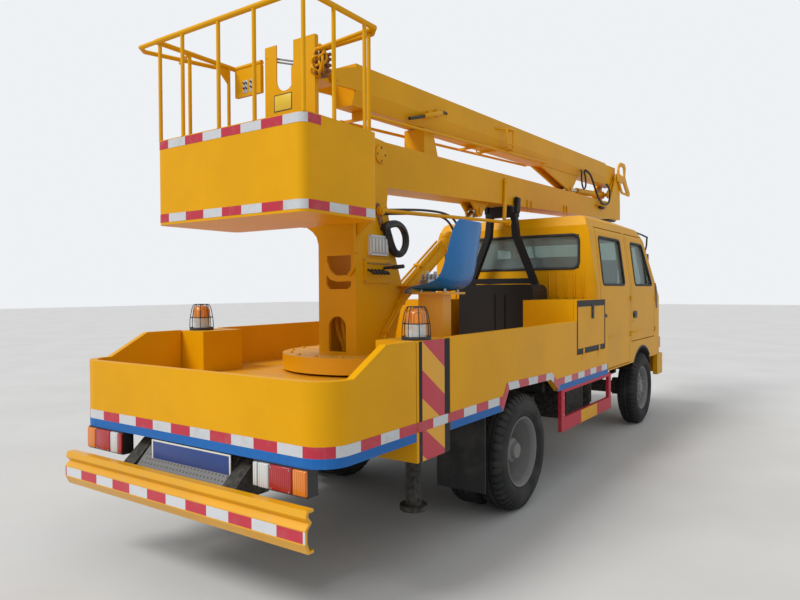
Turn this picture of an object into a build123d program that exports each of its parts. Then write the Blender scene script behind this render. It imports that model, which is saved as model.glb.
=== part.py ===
from build123d import *
import math
import os

# Folding-arm aerial platform truck, in millimetres: +X is forward, +Y is the left side, +Z is up.
# Places along X are measured from the rear axle, and the finished pieces are moved
# so that the middle of the whole length stands over the origin, on the ground.

# Wheels
WHEELBASE = 3360
TYRE_R = 387.5
TYRE_WIDTH = 200
TYRE_SHOULDER = 46
RIM_R = 222
RIM_WALL = 12
RIM_WIDTH = 152
DISC_WALL = 14
REAR_TYRE_Y = 842
TWIN_SPACING = 236
FRONT_TYRE_Y = 768
SPINDLE_R = 42
HUB_R = 86
SIDES = {"left": 1, "right": -1}
SEAT_GAP = 0.3
RUN_FIT = 0.1
ENGINE_X0 = WHEELBASE - 360
SLIDE_FIT = 0.5
MOVE_GAP = 6

# Chassis
RAIL_Y = 360
RAIL_WIDTH = 60
RAIL_Z0 = 515
RAIL_Z1 = 685
RAIL_X0 = -1850
RAIL_X1 = WHEELBASE + 790
CROSS_X = (-1790, -1500, -560, 600, 1500, WHEELBASE - 860, WHEELBASE + 740)
CROSS_WIDTH = 70
SPRING_HALF = 560
LEAF_HALVES = (160, 400, 600)
LEAF_THICKS = (10, 10, 12)
AXLE_R = 52
DIFF_R = 150
KINGPIN_Y = 618
KINGPIN_R = 20
KNUCKLE_R = 44
KNUCKLE_HALF = 62
BEAM_HALF = 40
STUB_R = 34
EXHAUST_X = (1700, 2350)
EXHAUST_Y = -180
EXHAUST_Z = 430
EXHAUST_R = 85
EXHAUST_PIPE_R = 28

# Cab, whose places along X are tied to the front axle
CAB_HALF = 850
CAB_X0 = WHEELBASE - 1618
CAB_X1 = WHEELBASE + 910
CAB_WALL = 50
CAB_FLOOR_Z = 860
CAB_FLOOR_THICK = 40
CAB_ROOF_Z = 2195
CAB_REAR_CORNER = 95
CAB_FRONT_CORNER = 170
GLASS_THICK = 8
GLASS_INSET = 18
DOOR_GAP = 9
DOOR_DEPTH = 210
WELL_R = 455
CAB_MOUNT_X = (WHEELBASE - 1210, WHEELBASE + 600)
LAMP_X0 = CAB_X1 - 44
LAMP_X1 = CAB_X1 + 20
LAMP_Y = (520, 765)
LAMP_Z = (745, 905)
MIRROR_TUBE_R = 10
GRILLE_Z = (930, 1150)
GRILLE_HALF = 440
GRILLE_THICK = 20
GRILLE_SLOTS = 4

# Outlines as (distance ahead of the front axle, height)
CAB_SIDE = ((-1618, 700), (-1608, 2060), (-1560, 2150), (-1060, 2195), (-360, 2190), (120, 2130), (230, 2060),
            (625, 1500), (820, 1330), (880, 1180), (910, 900), (902, 700))
REAR_DOOR = ((-1455, 722), (-500, 722), (-500, 1120), (-480, 1500), (-530, 2045), (-1435, 2045), (-1455, 1500))
FRONT_DOOR = ((-415, 930), (515, 930), (545, 1490), (185, 2045), (-460, 2045), (-415, 1500))
REAR_PANE = ((-1375, 1515), (-670, 1515), (-690, 1965), (-1365, 1965))
FRONT_PANE = ((-285, 1515), (430, 1515), (160, 1965), (-300, 1965))
WINDSHIELD = ((240, 2035), (615, 1525))

# The cab seen from the front, as (distance to the side, height)
CAB_FRONT = ((CAB_HALF, 700), (CAB_HALF, 1500), (CAB_HALF - 60, 2010), (CAB_HALF - 110, 2130),
             (CAB_HALF - 210, 2180), (300, 2195))

# Deck
DECK_HALF = 945
DECK_WALL = 40
DECK_X0 = -2008
DECK_X1 = CAB_X0 + 68
DECK_Z0 = 715
DECK_TOP = 1220
REAR_TOP = 1087
SLOPE_X0 = -1832
SLOPE_X1 = -1587
DECK_CORNER = 150
FLOOR_Z = 950
FLOOR_THICK = 20
FLOOR_X1 = CAB_X0 - 42
ARCH = ((-347, 700), (-347, 716), (-262, 836), (450, 820), (607, 717), (607, 700))
BEARERS = (-1780, -1480, -930, 250, 700, 1150, FLOOR_X1 - 100)
BEARER_WIDTH = 60
BEARER_HALF = 785
BEARER_SHORT = 470

# Outriggers
TOWER_X0 = -1330
TOWER_X1 = -1005
TOWER_IN = 690
TOWER_Z0 = 605
TOWER_Z1 = 1216
SLOT_GAP = 6
TUBE_Z0 = 735
TUBE_HEIGHT = 150
TUBE_WIDTH = 140
TUBE_WALL = 10
TUBE_HALF = 655
TUBE_X = {"left": -1238, "right": -1092}
BEAM_IN = 610
BEAM_STROKE = 450
JACK_X = -1168
JACK_Y = 815
JACK_R = 42
JACK_FOOT_R = 75
JACK_FOOT_Z = 310
JACK_FOOT_THICK = 26
JACK_STROKE = 300
FRONT_JACK_X = CAB_X0 + 58
FRONT_JACK_Y = 738
FRONT_JACK_TUBE_R = 55
FRONT_JACK_Z0 = 450

# Turntable and turret
SLEW_X = -520
SLEW_R = 560
SLEW_BASE_R = 480
DISC_Z0 = 965
DISC_Z1 = 1065
PLATE_IN = 136
PLATE_OUT = 155
TURRET_X0 = -820
TURRET_WALL = 20
WING_OUT = 300
WING_Z = (1775, 1905, 2030)
LUFF_X = -552
LUFF_Z = 2376
LUFF_PIN_R = 38
LIFT_BASE = (-450, 1205)
LIFT_EYE = (1050, 2165)
LIFT_PIN_R = 28
LIFT_BARREL_R = 55
LIFT_ROD_R = 32
LIFT_BARREL_LENGTH = 1300
EYE_HALF = 34
EYE_RING = 24

# Lower boom
BOOM_HALF = 130
BOOM_WALL = 8
BOOM_TAIL_X = -690
BOOM_X1 = 5040
BOOM_TOP = ((-240, 2484), (3780, 2593))
BOOM_BOTTOM = ((-280, 2180), (5040, 2420))
ELBOW_X = 4930
ELBOW_Z = 2950
ELBOW_PIN_R = 30
CHEEK_IN = 112
CHEEK_R = 92
KNEE_IN = 84
KNEE_OUT = 102
LEVER_OUT = 156
REST_X0 = 100
REST_X1 = 300
REST_TOP_X1 = 224
REST_BLOCK_HALF = 90
REST_TOP = 2694
HOOK_TIP_X = 5430
HOOK_REACH = HOOK_TIP_X - ELBOW_X

# Hooked lever and its eye, as (distance ahead of the elbow's pin, height above it)
LEVER_OUTLINE = ((-55, -20), (-55, 130), (-30, 195), (70, 250), (250, 254), (305, 205), (278, 80), (385, -30),
                 (HOOK_REACH, -110), (HOOK_REACH - 8, -160), (HOOK_REACH - 100, -160), (290, -80), (190, 0), (60, -50))
LEVER_EYE = ((10, 90), (-5, 150), (70, 200), (220, 200), (230, 110), (150, 60))

# Levelling link of the lower boom
LINK_BASE = (-590, 2000)
LINK_LENGTH_X = 1950
LINK_Y = -187
LINK_R = 14
CRANK_PIN_R = 16

# Upper boom
UPPER_HALF = 105
UPPER_FOOT_HALF = 68
UPPER_DEPTH = 262
UPPER_AXIS = ((-740, 2805), (4990, 2996))
UPPER_TONGUE_X = 4480
TONGUE_HALF = 77
BASKET_PIN_X = -930
BASKET_PIN_Z = 2800
BASKET_PIN_R = 24
ARM_EYE = (3300, 2640)
ARM_PIN_R = 24
ARM_BASE = (4620, 2722)
ARM_BARREL_R = 38
ARM_ROD_R = 24
ARM_BARREL_LENGTH = 960
TIE_Y = 125
TIE_R = 11
TIE_ENDS = ((-620, 2622), (2450, 2795))
TIE_HANGERS = (-580, 1000, 1300)

# Basket
TUB_X0 = -1740
TUB_X1 = -1140
TUB_HALF = 580
TUB_Z0 = 1857
TUB_Z1 = 2340
TUB_WALL = 14
TUB_CORNER = 55
RAIL_TOP = 2915
RAIL_R = 15
POST_R = 11
COLUMN_Y = (-112, 8)
COLUMN_X1 = -1108
COLUMN_TOP = 2998
SLOT_PLATE_Y1 = 305
SLOT_PLATE_THICK = 8
SLOT_Y = (62, 206)
SLOT_Z = 2705
PANEL_Y0 = 325
PANEL_Z0 = 2725
PANEL_THICK = 26

# Towing socket in the front bumper
BUMPER_FRONT = WHEELBASE + 1040
TOW_SOCKET = (BUMPER_FRONT, -430, 575)
TOW_SOCKET_R = 20
TOW_SOCKET_DEPTH = 60

# Seat and tank
SEAT_PAN_Z = 1480
CONTROL_DEPTH = 24
LEVER_BANK = 10

TAIL_LAMP_Y = (508, 839)

# Rear bumper
BUMPER_X0 = -2113
BUMPER_X1 = -2060
BUMPER_HALF = 912
ARM_Y = 390
ARM_HALF = 45

# Side guards
GUARD_X0 = 665
GUARD_X1 = CAB_X0 + 158

# Lockers behind the cab
LOCKER_X1 = CAB_X0 - 20
LOCKER_X0 = LOCKER_X1 - 722
LOCKER_Z0 = 955
LOCKER_Z1 = 1385
LOCKER_IN = 485
LOCKER_WALL = 14

# Oil tank between the lockers, in front of the boom's trestle
TANK_DEPTH = 320
TANK_RIGHT = LOCKER_IN - 18
TANK_LEFT = 266
TANK_TOP = 1520
TANK_ROUND = 60
TANK_RIB_Y = (-94, -192)
TANK_RIB_HALF = 9
TANK_RIB_PROUD = 10

# Locker doors and their hinges
LOCKER_DOOR = 26
LOCKER_HINGE_X = (LOCKER_X0 + 160, LOCKER_X1 - 162)
HINGE_R = 5.5
HINGE_PIN_R = 2.6
HINGE_HALF = 16
HINGE_LEAF = 3
HINGE_Y = DECK_HALF + HINGE_R + 0.5
REST_X = LOCKER_X1 - 102
REST_HALF = 30
HINGE_Z = LOCKER_Z0 - 7

# Cab doors turn on short outside hinges at their front edges
DOOR_HINGE_Y = CAB_HALF + HINGE_R + 0.5
DOOR_HINGE_X = {"rear": WHEELBASE - 480, "front": WHEELBASE + 545}
DOOR_HINGE_Z = (1010, 1375)
DOOR_HINGE_HALF = 26
DOOR_HINGE_REACH = 34

# Turret side plate, as (x, z)
TURRET_SIDE = ((-820, 1065), (-420, 1065), (-280, 1460), (-400, 1750), (-478, 2050), (-455, 2200),
               (-450, 2400), (-500, 2470), (-600, 2478), (-680, 2420), (-800, 2060), (-820, 2030))

X_SHIFT = -((BUMPER_X0 + HOOK_TIP_X) / 2)


def box(x0, x1, y0, y1, z0, z1):
    size = Box(abs(x1 - x0), abs(y1 - y0), abs(z1 - z0))
    return Pos((x0 + x1) / 2, (y0 + y1) / 2, (z0 + z1) / 2) * size


def cylinder_between(a, b, radius):
    start = Vector(*a)
    way = Vector(*b) - start
    up = (Align.CENTER, Align.CENTER, Align.MIN)
    return Plane(origin=start, z_dir=way.normalized()) * Cylinder(radius, way.length, align=up)


def pin(x, z, y0, y1, radius):
    return cylinder_between((x, y0, z), (x, y1, z), radius)


def side_plate(points, y0, y1):
    """An outline of (x, z) points, as thick as y0 to y1."""
    plane = Plane(origin=(0, min(y0, y1), 0), x_dir=(1, 0, 0), z_dir=(0, -1, 0))
    face = make_face(Polyline(*points, close=True))
    return extrude(plane * face, amount=-abs(y1 - y0))


def front_plate(points, x0, x1):
    """An outline of (y, z) points, as thick as x0 to x1."""
    plane = Plane(origin=(min(x0, x1), 0, 0), x_dir=(0, 1, 0), z_dir=(1, 0, 0))
    face = make_face(Polyline(*points, close=True))
    return extrude(plane * face, amount=abs(x1 - x0))


def flat_plate(x0, x1, half, z0, z1, rear_corner, front_corner):
    """A level plate with rounded rear and front corners."""
    face = Pos((x0 + x1) / 2, 0) * Rectangle(x1 - x0, 2 * half)
    if rear_corner:
        face = fillet(face.vertices().sort_by(Axis.X)[:2], rear_corner)
    if front_corner:
        face = fillet(face.vertices().sort_by(Axis.X)[-2:], front_corner)
    return extrude(Pos(0, 0, z0) * face, amount=z1 - z0)


def ring_of_revolution(points, x, y=0):
    """Turns an outline of (radius, y) points about the axle line at x."""
    plane = Plane(origin=(x, y, TYRE_R), x_dir=(0, 0, 1), z_dir=(-1, 0, 0))
    face = make_face(Polyline(*points, close=True))
    return revolve(plane * face, axis=Axis((x, y, TYRE_R), (0, 1, 0)))


def tube_path(points, radius):
    """Round tubes from point to point, with a ball at every corner."""
    pieces = [cylinder_between(a, b, radius) for a, b in zip(points, points[1:])]
    pieces += [Pos(*p) * Sphere(radius) for p in points[1:-1]]
    return join(pieces)


def join(pieces):
    whole = pieces[0]
    for piece in pieces[1:]:
        whole = whole + piece
    return whole


def both_sides(piece):
    return [piece, mirror(piece, about=Plane.XZ)]


def line_at(line, x):
    (x0, z0), (x1, z1) = line
    return z0 + (z1 - z0) * (x - x0) / (x1 - x0)


# Running gear

def chassis_rail(side):
    """One rail with its spring hangers below and its cab mounts above."""
    y0, y1 = side * (RAIL_Y - RAIL_WIDTH / 2), side * (RAIL_Y + RAIL_WIDTH / 2)
    leaf_top = TYRE_R + AXLE_R + sum(LEAF_THICKS)
    pieces = [box(RAIL_X0, RAIL_X1, y0, y1, RAIL_Z0, RAIL_Z1)]
    for axle_x in (0, WHEELBASE):
        for x in (axle_x - SPRING_HALF, axle_x + SPRING_HALF):
            pieces.append(box(x - 40, x + 40, y0, y1, leaf_top, RAIL_Z0))
    for x in CAB_MOUNT_X:
        pieces.append(box(x - 45, x + 45, y0, y1, RAIL_Z1, CAB_FLOOR_Z - SEAT_GAP))
    return join(pieces)


def cross_member(x):
    reach = RAIL_Y - RAIL_WIDTH / 2 - SEAT_GAP
    return box(x - CROSS_WIDTH / 2, x + CROSS_WIDTH / 2, -reach, reach, RAIL_Z0 + 30, RAIL_Z1 - 30)


def chassis_frame():
    return [chassis_rail(1), chassis_rail(-1)] + [cross_member(x) for x in CROSS_X]


def leaf_springs(axle_x):
    """One leaf pack on each side of an axle, under the rails."""
    y0, y1 = RAIL_Y - RAIL_WIDTH / 2, RAIL_Y + RAIL_WIDTH / 2
    z = TYRE_R + AXLE_R
    leaves = []
    for half, thick in zip(LEAF_HALVES, LEAF_THICKS):
        leaves.append(box(axle_x - half, axle_x + half, y0, y1, z, z + thick))
        z += thick
    return both_sides(join(leaves))


def rear_axle():
    reach = REAR_TYRE_Y - TWIN_SPACING - RIM_WIDTH / 2 - 20
    housing = pin(0, TYRE_R, -reach, reach, AXLE_R)
    spindle = pin(0, TYRE_R, -REAR_TYRE_Y, REAR_TYRE_Y, SPINDLE_R)
    diff = Pos(0, 0, TYRE_R) * Sphere(DIFF_R)
    return join([housing, spindle, diff])


def front_axle():
    reach = KINGPIN_Y - KNUCKLE_R - MOVE_GAP
    z = TYRE_R
    beam = box(WHEELBASE - BEAM_HALF, WHEELBASE + BEAM_HALF, -reach, reach, z - AXLE_R - 20, z + AXLE_R)
    ends = []
    for level in (-1, 1):
        z0 = z + level * (KNUCKLE_HALF + SEAT_GAP)
        z1 = z0 + level * 26
        yoke = box(WHEELBASE - BEAM_HALF, WHEELBASE + BEAM_HALF, reach - 40, KINGPIN_Y + 30, min(z0, z1), max(z0, z1))
        ends += both_sides(yoke)
    for side in (-1, 1):
        a = (WHEELBASE, side * KINGPIN_Y, z - KNUCKLE_HALF - 20)
        b = (WHEELBASE, side * KINGPIN_Y, z + KNUCKLE_HALF + 20)
        ends.append(cylinder_between(a, b, KINGPIN_R))
        post = box(WHEELBASE - BEAM_HALF, WHEELBASE + BEAM_HALF, side * (reach - 40), side * reach,
                   z - KNUCKLE_HALF - 26, z + KNUCKLE_HALF + 26)
        ends.append(post)
    return join([beam] + ends)


def knuckle(side):
    y = side * KINGPIN_Y
    body = cylinder_between((WHEELBASE, y, TYRE_R - KNUCKLE_HALF), (WHEELBASE, y, TYRE_R + KNUCKLE_HALF), KNUCKLE_R)
    stub = pin(WHEELBASE, TYRE_R, y, side * (FRONT_TYRE_Y + 40), STUB_R)
    bore = cylinder_between(
        (WHEELBASE, y, TYRE_R - KNUCKLE_HALF - 1), (WHEELBASE, y, TYRE_R + KNUCKLE_HALF + 1), KINGPIN_R + RUN_FIT)
    return body + stub - bore


def tyre(x, y):
    half = TYRE_WIDTH / 2
    bead = RIM_R + SEAT_GAP
    points = (
        (bead, -RIM_WIDTH / 2 + 8), (bead + 50, -half + 6), (TYRE_R - 90, -half), (TYRE_R - TYRE_SHOULDER, -half + 4),
        (TYRE_R - 8, -half + 30), (TYRE_R, -half + 48), (TYRE_R, half - 48), (TYRE_R - 8, half - 30),
        (TYRE_R - TYRE_SHOULDER, half - 4), (TYRE_R - 90, half), (bead + 50, half - 6), (bead, RIM_WIDTH / 2 - 8),
    )
    return ring_of_revolution(points, x, y)


def rear_rim(side):
    """The twin rims of one side with their disc and hub, as one turned piece."""
    outer = REAR_TYRE_Y + RIM_WIDTH / 2
    inner = REAR_TYRE_Y - TWIN_SPACING - RIM_WIDTH / 2
    disc = REAR_TYRE_Y - TWIN_SPACING / 2
    bore = SPINDLE_R + RUN_FIT
    points = (
        (bore, disc - 90), (HUB_R, disc - 90), (HUB_R, disc - DISC_WALL), (RIM_R - RIM_WALL, disc - DISC_WALL),
        (RIM_R - RIM_WALL, inner), (RIM_R, inner), (RIM_R, outer), (RIM_R - RIM_WALL, outer),
        (RIM_R - RIM_WALL, disc + DISC_WALL), (HUB_R, disc + DISC_WALL), (HUB_R, REAR_TYRE_Y + 20),
        (HUB_R - 30, REAR_TYRE_Y + 40), (bore, REAR_TYRE_Y + 40),
    )
    rim = ring_of_revolution([(r, side * y) for r, y in points], 0)
    return rim + pin(0, TYRE_R, side * (REAR_TYRE_Y + 10), side * (REAR_TYRE_Y + 44), HUB_R - 32)


def front_rim(side):
    outer = FRONT_TYRE_Y + RIM_WIDTH / 2
    inner = FRONT_TYRE_Y - RIM_WIDTH / 2
    disc = FRONT_TYRE_Y + 40
    bore = STUB_R + RUN_FIT
    points = (
        (bore, inner + 20), (HUB_R, inner + 20), (HUB_R, disc - DISC_WALL), (RIM_R - RIM_WALL, disc - DISC_WALL),
        (RIM_R - RIM_WALL, inner), (RIM_R, inner), (RIM_R, outer), (RIM_R - RIM_WALL, outer),
        (RIM_R - RIM_WALL, disc), (HUB_R, disc), (HUB_R, disc + 22), (bore, disc + 22),
    )
    rim = ring_of_revolution([(r, side * y) for r, y in points], WHEELBASE)
    return rim + pin(WHEELBASE, TYRE_R, side * (FRONT_TYRE_Y + 44), side * (disc + 34), STUB_R + 16)


def propshaft():
    return cylinder_between((DIFF_R + SEAT_GAP, 0, TYRE_R), (ENGINE_X0 - SEAT_GAP, 0, 500), 38)


def engine_block():
    block = box(ENGINE_X0, ENGINE_X0 + 750, -260, 260, 460, 850)
    reach = RAIL_Y - RAIL_WIDTH / 2 - SEAT_GAP
    feet = box(ENGINE_X0 + 250, ENGINE_X0 + 330, -reach, reach, 560, 640)
    return block + feet


def fuel_tank():
    body = box(760, 1420, 470, 800, 380, 670)
    straps = box(1040, 1140, RAIL_Y + RAIL_WIDTH / 2, 480, 560, 660)
    return body + straps


def battery_box():
    body = box(1150, 1560, -800, -520, 400, 670)
    arm = box(1300, 1400, -530, -RAIL_Y - RAIL_WIDTH / 2, 560, 660)
    return body + arm


# Deck

def deck_floor():
    plate = box(DECK_X0 + DECK_WALL, FLOOR_X1, -DECK_HALF + DECK_WALL, DECK_HALF - DECK_WALL, FLOOR_Z - FLOOR_THICK, FLOOR_Z)
    inside = flat_plate(DECK_X0 + DECK_WALL, FLOOR_X1, DECK_HALF - DECK_WALL, FLOOR_Z - FLOOR_THICK, FLOOR_Z,
                        DECK_CORNER - DECK_WALL, 0)
    bearers = []
    for x in BEARERS:
        half = BEARER_SHORT if abs(x) < TYRE_R + BEARER_WIDTH else BEARER_HALF
        bearers.append(box(x - BEARER_WIDTH / 2, x + BEARER_WIDTH / 2, -half, half, RAIL_Z1, FLOOR_Z - FLOOR_THICK))
    floor = join([plate & inside] + bearers)
    floor -= Pos(SLEW_X, 0, 0) * Cylinder(SLEW_BASE_R + SEAT_GAP, 4 * FLOOR_Z)
    for side in (-1, 1):
        floor -= box(TOWER_X0 - SLOT_GAP, TOWER_X1 + SLOT_GAP, side * (TOWER_IN - SLOT_GAP), side * DECK_HALF,
                     RAIL_Z0, DECK_TOP)
    return floor


def deck_ring():
    """The whole side wall before it is split, with the arch, slots and locker doors cut."""
    outer = flat_plate(DECK_X0, DECK_X1 + DECK_HALF, DECK_HALF, DECK_Z0, DECK_TOP, DECK_CORNER, 0)
    inner = flat_plate(DECK_X0 + DECK_WALL, DECK_X1 + 2 * DECK_HALF, DECK_HALF - DECK_WALL, DECK_Z0 - 1, DECK_TOP + 1,
                       DECK_CORNER - DECK_WALL, 0)
    ring = outer - inner
    ring -= box(DECK_X1, DECK_X1 + 2 * DECK_HALF, -2 * DECK_HALF, 2 * DECK_HALF, 0, 2 * DECK_TOP)
    low = ((DECK_X0 - 50, REAR_TOP), (SLOPE_X0, REAR_TOP), (SLOPE_X1, DECK_TOP), (SLOPE_X1, DECK_TOP + 50),
           (DECK_X0 - 50, DECK_TOP + 50))
    ring -= side_plate(low, -DECK_HALF - 5, DECK_HALF + 5)
    ring -= side_plate(ARCH, -DECK_HALF - 5, DECK_HALF + 5)
    ring -= box(TOWER_X0 - SLOT_GAP, TOWER_X1 + SLOT_GAP, -DECK_HALF - 5, DECK_HALF + 5, 0, 2 * DECK_TOP)
    ring -= box(LOCKER_X0 - MOVE_GAP, LOCKER_X1 + MOVE_GAP, -DECK_HALF - 5, DECK_HALF + 5, LOCKER_Z0 - MOVE_GAP, 2 * DECK_TOP)
    return ring


def deck_walls():
    """The bent rear wall and the two side walls, parted by the jack boxes."""
    ring = deck_ring()
    for side in (-1, 1):
        for x in LOCKER_HINGE_X:
            ring += wall_hinge(x, side)
    return list(ring.solids())


def wall_hinge(x, side):
    """Leaf with two knuckles and the pin that a locker door turns on."""
    reach = 3 * HINGE_HALF
    leaf = box(x - reach, x + reach, side * DECK_HALF, side * (DECK_HALF + HINGE_LEAF), HINGE_Z - 45, HINGE_Z)
    knuckles = [
        cylinder_between((x + a, side * HINGE_Y, HINGE_Z), (x + b, side * HINGE_Y, HINGE_Z), HINGE_R)
        for a, b in ((-reach, -HINGE_HALF - SEAT_GAP), (HINGE_HALF + SEAT_GAP, reach))
    ]
    core = cylinder_between((x - reach, side * HINGE_Y, HINGE_Z), (x + reach, side * HINGE_Y, HINGE_Z), HINGE_PIN_R)
    room = box(x - HINGE_HALF - SEAT_GAP, x + HINGE_HALF + SEAT_GAP, side * (DECK_HALF - 1),
               side * (DECK_HALF + HINGE_LEAF + 1), HINGE_Z - HINGE_R - 1, HINGE_Z + 1)
    return join([leaf - room] + knuckles + [core])


def locker_box(side):
    y0 = side * LOCKER_IN
    y1 = side * (DECK_HALF - LOCKER_DOOR - 2)
    body = box(LOCKER_X0, LOCKER_X1, y0, y1, FLOOR_Z, LOCKER_Z1)
    hollow = box(LOCKER_X0 + LOCKER_WALL, LOCKER_X1 - LOCKER_WALL, y0 + side * LOCKER_WALL, y1 + side * 5,
                 FLOOR_Z + LOCKER_WALL, LOCKER_Z1 - LOCKER_WALL)
    return body - hollow


def locker_door(side):
    y0 = side * (DECK_HALF - LOCKER_DOOR)
    door = box(LOCKER_X0, LOCKER_X1, y0, side * DECK_HALF, LOCKER_Z0, LOCKER_Z1)
    for x in LOCKER_HINGE_X:
        a, b = x - HINGE_HALF, x + HINGE_HALF
        leaf = box(a, b, side * DECK_HALF, side * (DECK_HALF + HINGE_LEAF), HINGE_Z, LOCKER_Z0 + 40)
        knuckle_piece = cylinder_between((a, side * HINGE_Y, HINGE_Z), (b, side * HINGE_Y, HINGE_Z), HINGE_R)
        bore = cylinder_between((a - 1, side * HINGE_Y, HINGE_Z), (b + 1, side * HINGE_Y, HINGE_Z), HINGE_PIN_R + RUN_FIT)
        door = door + leaf + knuckle_piece - bore
    return door


def side_guards():
    """Low guard frames between the axles, on both sides."""
    y0, y1 = DECK_HALF - 30, DECK_HALF - 2
    frame = join([
        box(GUARD_X0, GUARD_X1, y0, y1, 395, 500),
        box(GUARD_X0, GUARD_X0 + 70, y0, y1, 395, 700),
        box(GUARD_X1 - 65, GUARD_X1, y0, y1, 395, 700),
        box(GUARD_X0, GUARD_X1, y0, y1, 690, DECK_Z0),
    ])
    return both_sides(frame)


def mud_flaps():
    flap = box(-510, -500, 560, DECK_HALF - DECK_WALL - 3, 230, FLOOR_Z - FLOOR_THICK)
    return both_sides(flap)


def rear_bumper():
    """A folded beam: a broad middle face over a slanting lip, with a groove below its upper ridge."""
    x0, x1 = BUMPER_X0, BUMPER_X1
    profile = ((x1, 397), (x0 + 20, 397), (x0, 438), (x0, 500), (x0 + 24, 524), (x0 + 4, 548),
               (x0 + 12, 578), (x1, 578), (x1, 566), (x0 + 24, 566), (x0 + 20, 552), (x0 + 42, 524),
               (x0 + 14, 496), (x0 + 14, 442), (x0 + 28, 409), (x1, 409))
    return side_plate(profile, -BUMPER_HALF, BUMPER_HALF)


def bumper_arms():
    rear = BUMPER_X1 + SEAT_GAP
    outline = ((rear, 400), (rear, 575), (-1935, RAIL_Z1), (RAIL_X0, RAIL_Z1), (RAIL_X0, RAIL_Z0), (-1950, RAIL_Z0),
               (-2000, 400))
    arm = side_plate(outline, ARM_Y - ARM_HALF, ARM_Y + ARM_HALF)
    return both_sides(arm)


def rear_step():
    plate = side_plate(((-2055, 555), (-1905, 715), (-1896, 709), (-2046, 549)), -ARM_Y + ARM_HALF, ARM_Y - ARM_HALF)
    return plate


def tail_lamps():
    lamp = box(-2014, -1950, TAIL_LAMP_Y[0], TAIL_LAMP_Y[1], 592, DECK_Z0)
    return both_sides(lamp)


def boom_rest():
    """The black trestle behind the cab that carries the lower boom on the road."""
    x0, x1 = REST_X - REST_HALF, REST_X + REST_HALF
    leg = front_plate(((95, 2180), (150, 2180), (172, 1990), (372, 1500), (430, 1385), (430, FLOOR_Z), (365, FLOOR_Z),
                       (365, 1380), (315, 1490), (112, 1980)), x0, x1)
    bar = box(x0, x1, -330, 330, 1530, 1580)
    head = box(x0 - 15, x1 + 15, -155, 155, 2160, 2200)
    top = line_at(BOOM_BOTTOM, x0 - 15) - MOVE_GAP
    block = box(x0 - 15, x1 + 15, -110, 110, 2190, top)
    return join(both_sides(leg) + [bar, head, block])


def oil_tank():
    """Tank with rounded upper edges and two pressed ribs down its rear face."""
    x1 = REST_X - REST_HALF - 20
    x0 = x1 - TANK_DEPTH
    body = box(x0, x1, -TANK_RIGHT, TANK_LEFT, FLOOR_Z, TANK_TOP)
    body = fillet(body.edges().filter_by(Axis.X).group_by(Axis.Z)[-1], TANK_ROUND)
    ribs = [box(x0 - TANK_RIB_PROUD, x0 + 2, y - TANK_RIB_HALF, y + TANK_RIB_HALF, FLOOR_Z + 50, TANK_TOP - 90)
            for y in TANK_RIB_Y]
    return join([body] + ribs)


def outrigger_housing():
    """Two square tubes side by side across the frame, one for each beam."""
    tubes = []
    for x in TUBE_X.values():
        outer = box(x - TUBE_WIDTH / 2, x + TUBE_WIDTH / 2, -TUBE_HALF, TUBE_HALF, TUBE_Z0, TUBE_Z0 + TUBE_HEIGHT)
        inner = box(x - TUBE_WIDTH / 2 + TUBE_WALL, x + TUBE_WIDTH / 2 - TUBE_WALL, -TUBE_HALF - 5, TUBE_HALF + 5,
                    TUBE_Z0 + TUBE_WALL, TUBE_Z0 + TUBE_HEIGHT - TUBE_WALL)
        tubes.append(outer - inner)
    x0 = TUBE_X["left"] - TUBE_WIDTH / 2
    x1 = TUBE_X["right"] + TUBE_WIDTH / 2
    packers = both_sides(box(x0, x1, RAIL_Y - RAIL_WIDTH / 2, RAIL_Y + RAIL_WIDTH / 2, RAIL_Z1, TUBE_Z0))
    web = box(TUBE_X["left"] + TUBE_WIDTH / 2 - 1, TUBE_X["right"] - TUBE_WIDTH / 2 + 1, -TUBE_HALF, TUBE_HALF, TUBE_Z0,
              TUBE_Z0 + TUBE_WALL)
    return join(tubes + packers + [web])


def outrigger(name, side):
    """Sliding beam with its upright jack box and outer end plate."""
    x = TUBE_X[name]
    half = TUBE_WIDTH / 2 - TUBE_WALL - SLIDE_FIT
    beam = box(x - half, x + half, -side * BEAM_IN, side * (TOWER_IN + 20), TUBE_Z0 + TUBE_WALL + SLIDE_FIT,
               TUBE_Z0 + TUBE_HEIGHT - TUBE_WALL - SLIDE_FIT)
    tower = box(TOWER_X0, TOWER_X1, side * TOWER_IN, side * DECK_HALF, TOWER_Z0, TOWER_Z1)
    bore = cylinder_between((JACK_X, side * JACK_Y, TOWER_Z0 - 5), (JACK_X, side * JACK_Y, TOWER_Z1 - 40), JACK_R + RUN_FIT)
    return beam + tower - bore


def jack(side):
    y = side * JACK_Y
    leg = cylinder_between((JACK_X, y, JACK_FOOT_Z + 5), (JACK_X, y, TOWER_Z1 - 60), JACK_R)
    foot = cylinder_between((JACK_X, y, JACK_FOOT_Z), (JACK_X, y, JACK_FOOT_Z + JACK_FOOT_THICK), JACK_FOOT_R)
    return leg + foot


def front_jack_beam():
    """Cross beam under the back of the cab with an upright tube at each end."""
    z1 = RAIL_Z1 + 110
    beam = box(FRONT_JACK_X - 60, FRONT_JACK_X + 60, -FRONT_JACK_Y, FRONT_JACK_Y, RAIL_Z1, z1)
    pieces = [beam]
    for side in (-1, 1):
        y = side * FRONT_JACK_Y
        pieces.append(cylinder_between((FRONT_JACK_X, y, FRONT_JACK_Z0), (FRONT_JACK_X, y, z1), FRONT_JACK_TUBE_R))
    whole = join(pieces)
    for side in (-1, 1):
        y = side * FRONT_JACK_Y
        whole -= cylinder_between((FRONT_JACK_X, y, FRONT_JACK_Z0 - 5), (FRONT_JACK_X, y, z1 - 15), JACK_R + RUN_FIT)
    return whole


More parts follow.
